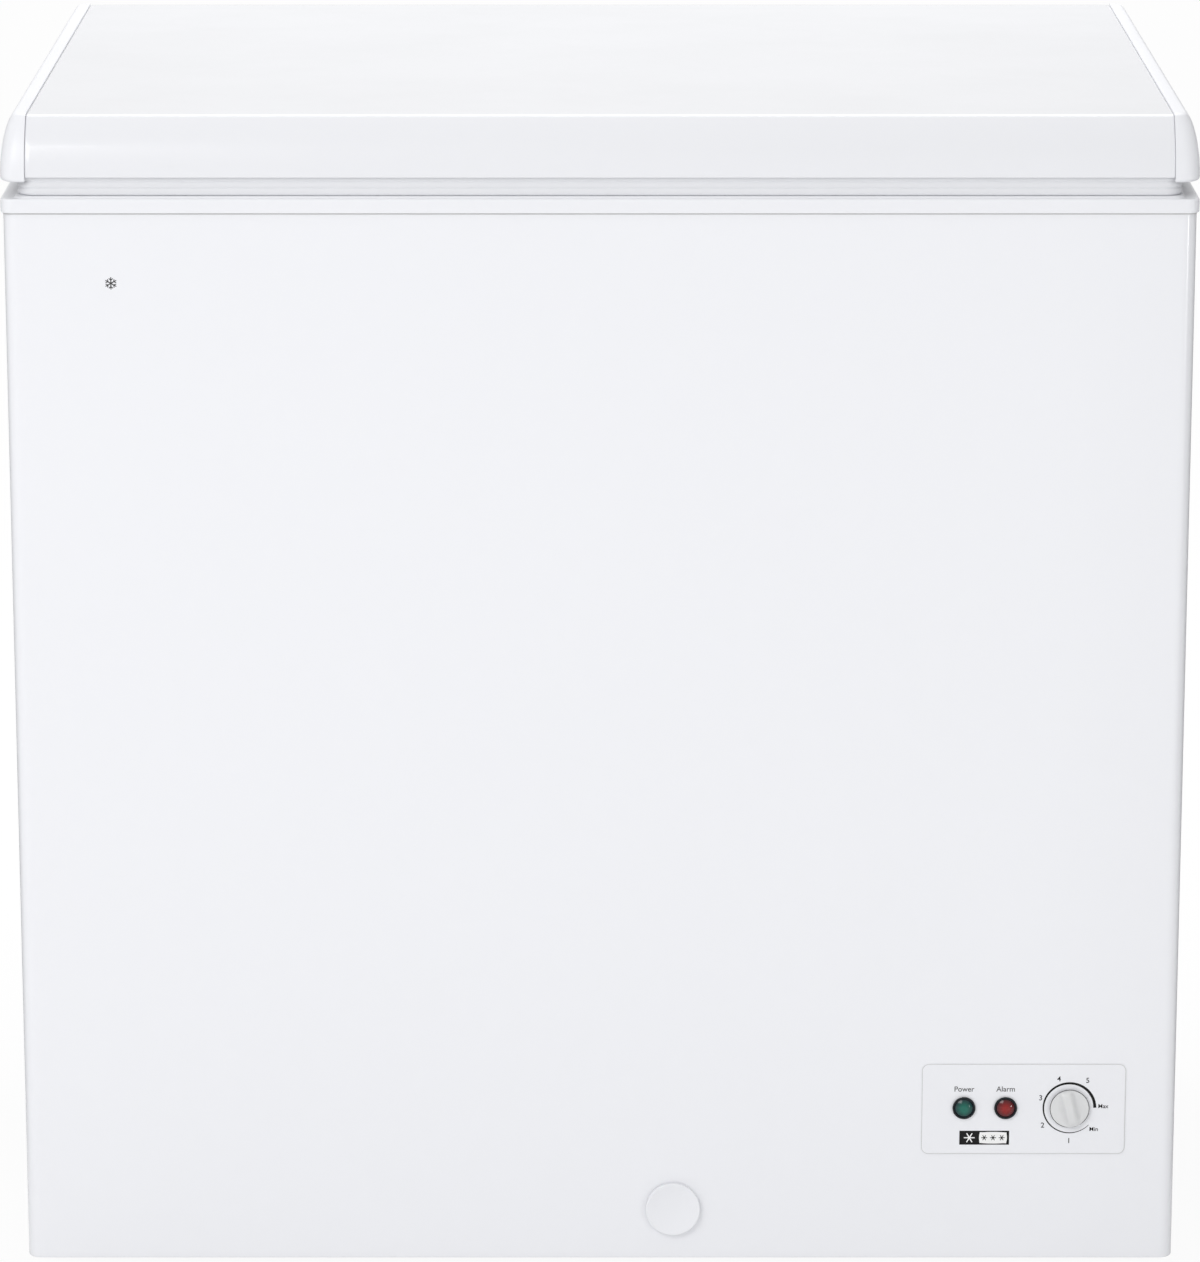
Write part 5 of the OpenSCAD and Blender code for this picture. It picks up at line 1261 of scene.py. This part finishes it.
nodeFinishes = {
    zincSheet: "rear_panel base_pan bay_tray bay_rear_cover",
    zincPlate: "evaporator_coil compressor_bolts thermostat_body thermostat_shaft roller_brackets "
               "roller_axles hinge_channels hinge_pins hinge_arms",
    copperTube: "condenser_coil discharge_pipe suction_pipe process_pipe filter_drier capillary_tube "
                "thermostat_sensor",
    darkPlastic: "cord_gland start_relay relay_cover control_box wiring_loom front_feet roller_left "
                 "roller_right",
    blackEnamel: "compressor_lower_can compressor_upper_can compressor_foot_plate",
    castIron: "motor_stator motor_rotor cylinder_block", blackRubber: "compressor_grommets",
    paleNylon: "lamp_holders drain_pipe hinge_sliders", blownFoam: "insulation lid_insulation",
    tubSheet: "tub_liner", linerPlastic: "tub_drain_plug"}

for material, names in nodeFinishes.items():
    for node in (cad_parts[name] for name in names.split()):
        if node.material_slots:
            for slot in node.material_slots:
                slot.material = material
        else:
            node.data.materials.append(material)
print("freezer: finishes set")


studio = {
    "distance": 3.908, "eyeHeight": 1.473, "pitch": 14.15, "lens": 168.5, "floor": 0.85, "floorReach": 14,
    "sky": 0.74, "floorGlow": 0.12, "cardGrey": 0.4, "paper": 0.93,
    "lights": {  # power, size, place, target
        "topLight": (28.0, (2.0, 1.6), (0.0, 1.2, 2.6), (0.0, 0.3, 0.8)),
        "frontLight": (50.0, (2.2, 1.8), (-1.9, -3.2, 3.0), (0.0, -0.2, 0.5)),
        "sparkle": (6.0, (0.12, 0.12), (2.35, -2.28, 0.3), (panel["x"], collarLo.y, panel["z"]))},
    "cards": {  # place, near and far end, foot and top of each grey card that draws a line down a side
        "studioFlagLeft": (-0.62, collarLo.y + 0.03, 0.4, 0.02, 0.95),
        "studioFlagRight": (0.56, collarLo.y + 0.03, 0.4, 0.02, 0.95),
        "studioShade": (1.5, -1.4, -0.4, 0.02, 1.2)}}


def showPaper(tree, lit, paper, end, share):  # the camera sees plain paper, and the lights see the real thing
    seen = addNode(tree, "ShaderNodeLightPath")
    part = addNode(tree, "ShaderNodeMath", {1: share}, operation="MULTIPLY")
    mix = addNode(tree, "ShaderNodeMixShader")
    addLinks(tree, (seen, "Is Camera Ray", part, 0), (part, 0, mix, 0), (lit, 0, mix, 1),
             (addNode(tree, paper), 0, mix, 2), (mix, 0, tree.nodes[end], "Surface"))


def buildStudio():
    camera = bpy.data.objects.new("Camera", bpy.data.cameras.new("Camera"))
    camera.data.sensor_fit = "VERTICAL"
    camera.data.sensor_height = 36.0
    camera.data.lens = studio["lens"]
    camera.location = (0.0, collarLo.y - studio["distance"], studio["eyeHeight"])
    camera.rotation_euler = (math.radians(90 - studio["pitch"]), 0.0, 0.0)
    scene.collection.objects.link(camera)
    scene.camera = camera

    world = bpy.data.worlds.new("Studio")
    world.use_nodes = True
    sky = world.node_tree.nodes["Background"]
    sky.inputs["Color"].default_value = (1.0, 1.0, 1.0, 1.0)
    sky.inputs["Strength"].default_value = studio["sky"]
    showPaper(world.node_tree, sky, "ShaderNodeBackground", "World Output", 1.0)
    scene.world = world

    dull = {"dust": 0.0, "bump": 0.0}
    floorLook = makeFinish("studioFloor", {
        **dull, "colour": grey(studio["floor"]), "rough": (0.8, 0.9), "specular": 0.1})
    paint = floorLook.node_tree.nodes["Principled BSDF"]
    paint.inputs["Emission Color"].default_value = (1.0, 1.0, 1.0, 1.0)
    paint.inputs["Emission Strength"].default_value = studio["floorGlow"]
    showPaper(floorLook.node_tree, paint, "ShaderNodeEmission", "Material Output", studio["paper"])
    far = studio["floorReach"]
    floor = addPiece("studioFloor", [(-far, -far, 0), (far, -far, 0), (far, far, 0), (-far, far, 0)],
                     [(0, 1, 2, 3)], floorLook)

    cardLook = makeFinish("studioFlag", {
        **dull, "colour": grey(studio["cardGrey"]), "rough": (0.9, 0.95), "specular": 0.0})
    for name, (x, near, far, foot, top) in studio["cards"].items():
        corners = [(x, near, foot), (x, far, foot), (x, far, top), (x, near, top)]
        card = addPiece(name, corners, [(0, 1, 2, 3)], cardLook)
        card.visible_camera = False

    for name, (power, size, place, target) in studio["lights"].items():
        light = bpy.data.objects.new(name, bpy.data.lights.new(name, "AREA"))
        light.data.shape = "RECTANGLE"
        light.data.size, light.data.size_y = size
        light.data.energy = power
        light.location = place
        light.rotation_euler = (Vector(target) - Vector(place)).to_track_quat("-Z", "Y").to_euler()
        scene.collection.objects.link(light)
    scene.view_settings.view_transform = "Standard"
    scene.view_settings.look = "None"


buildStudio()
print("freezer: studio made")
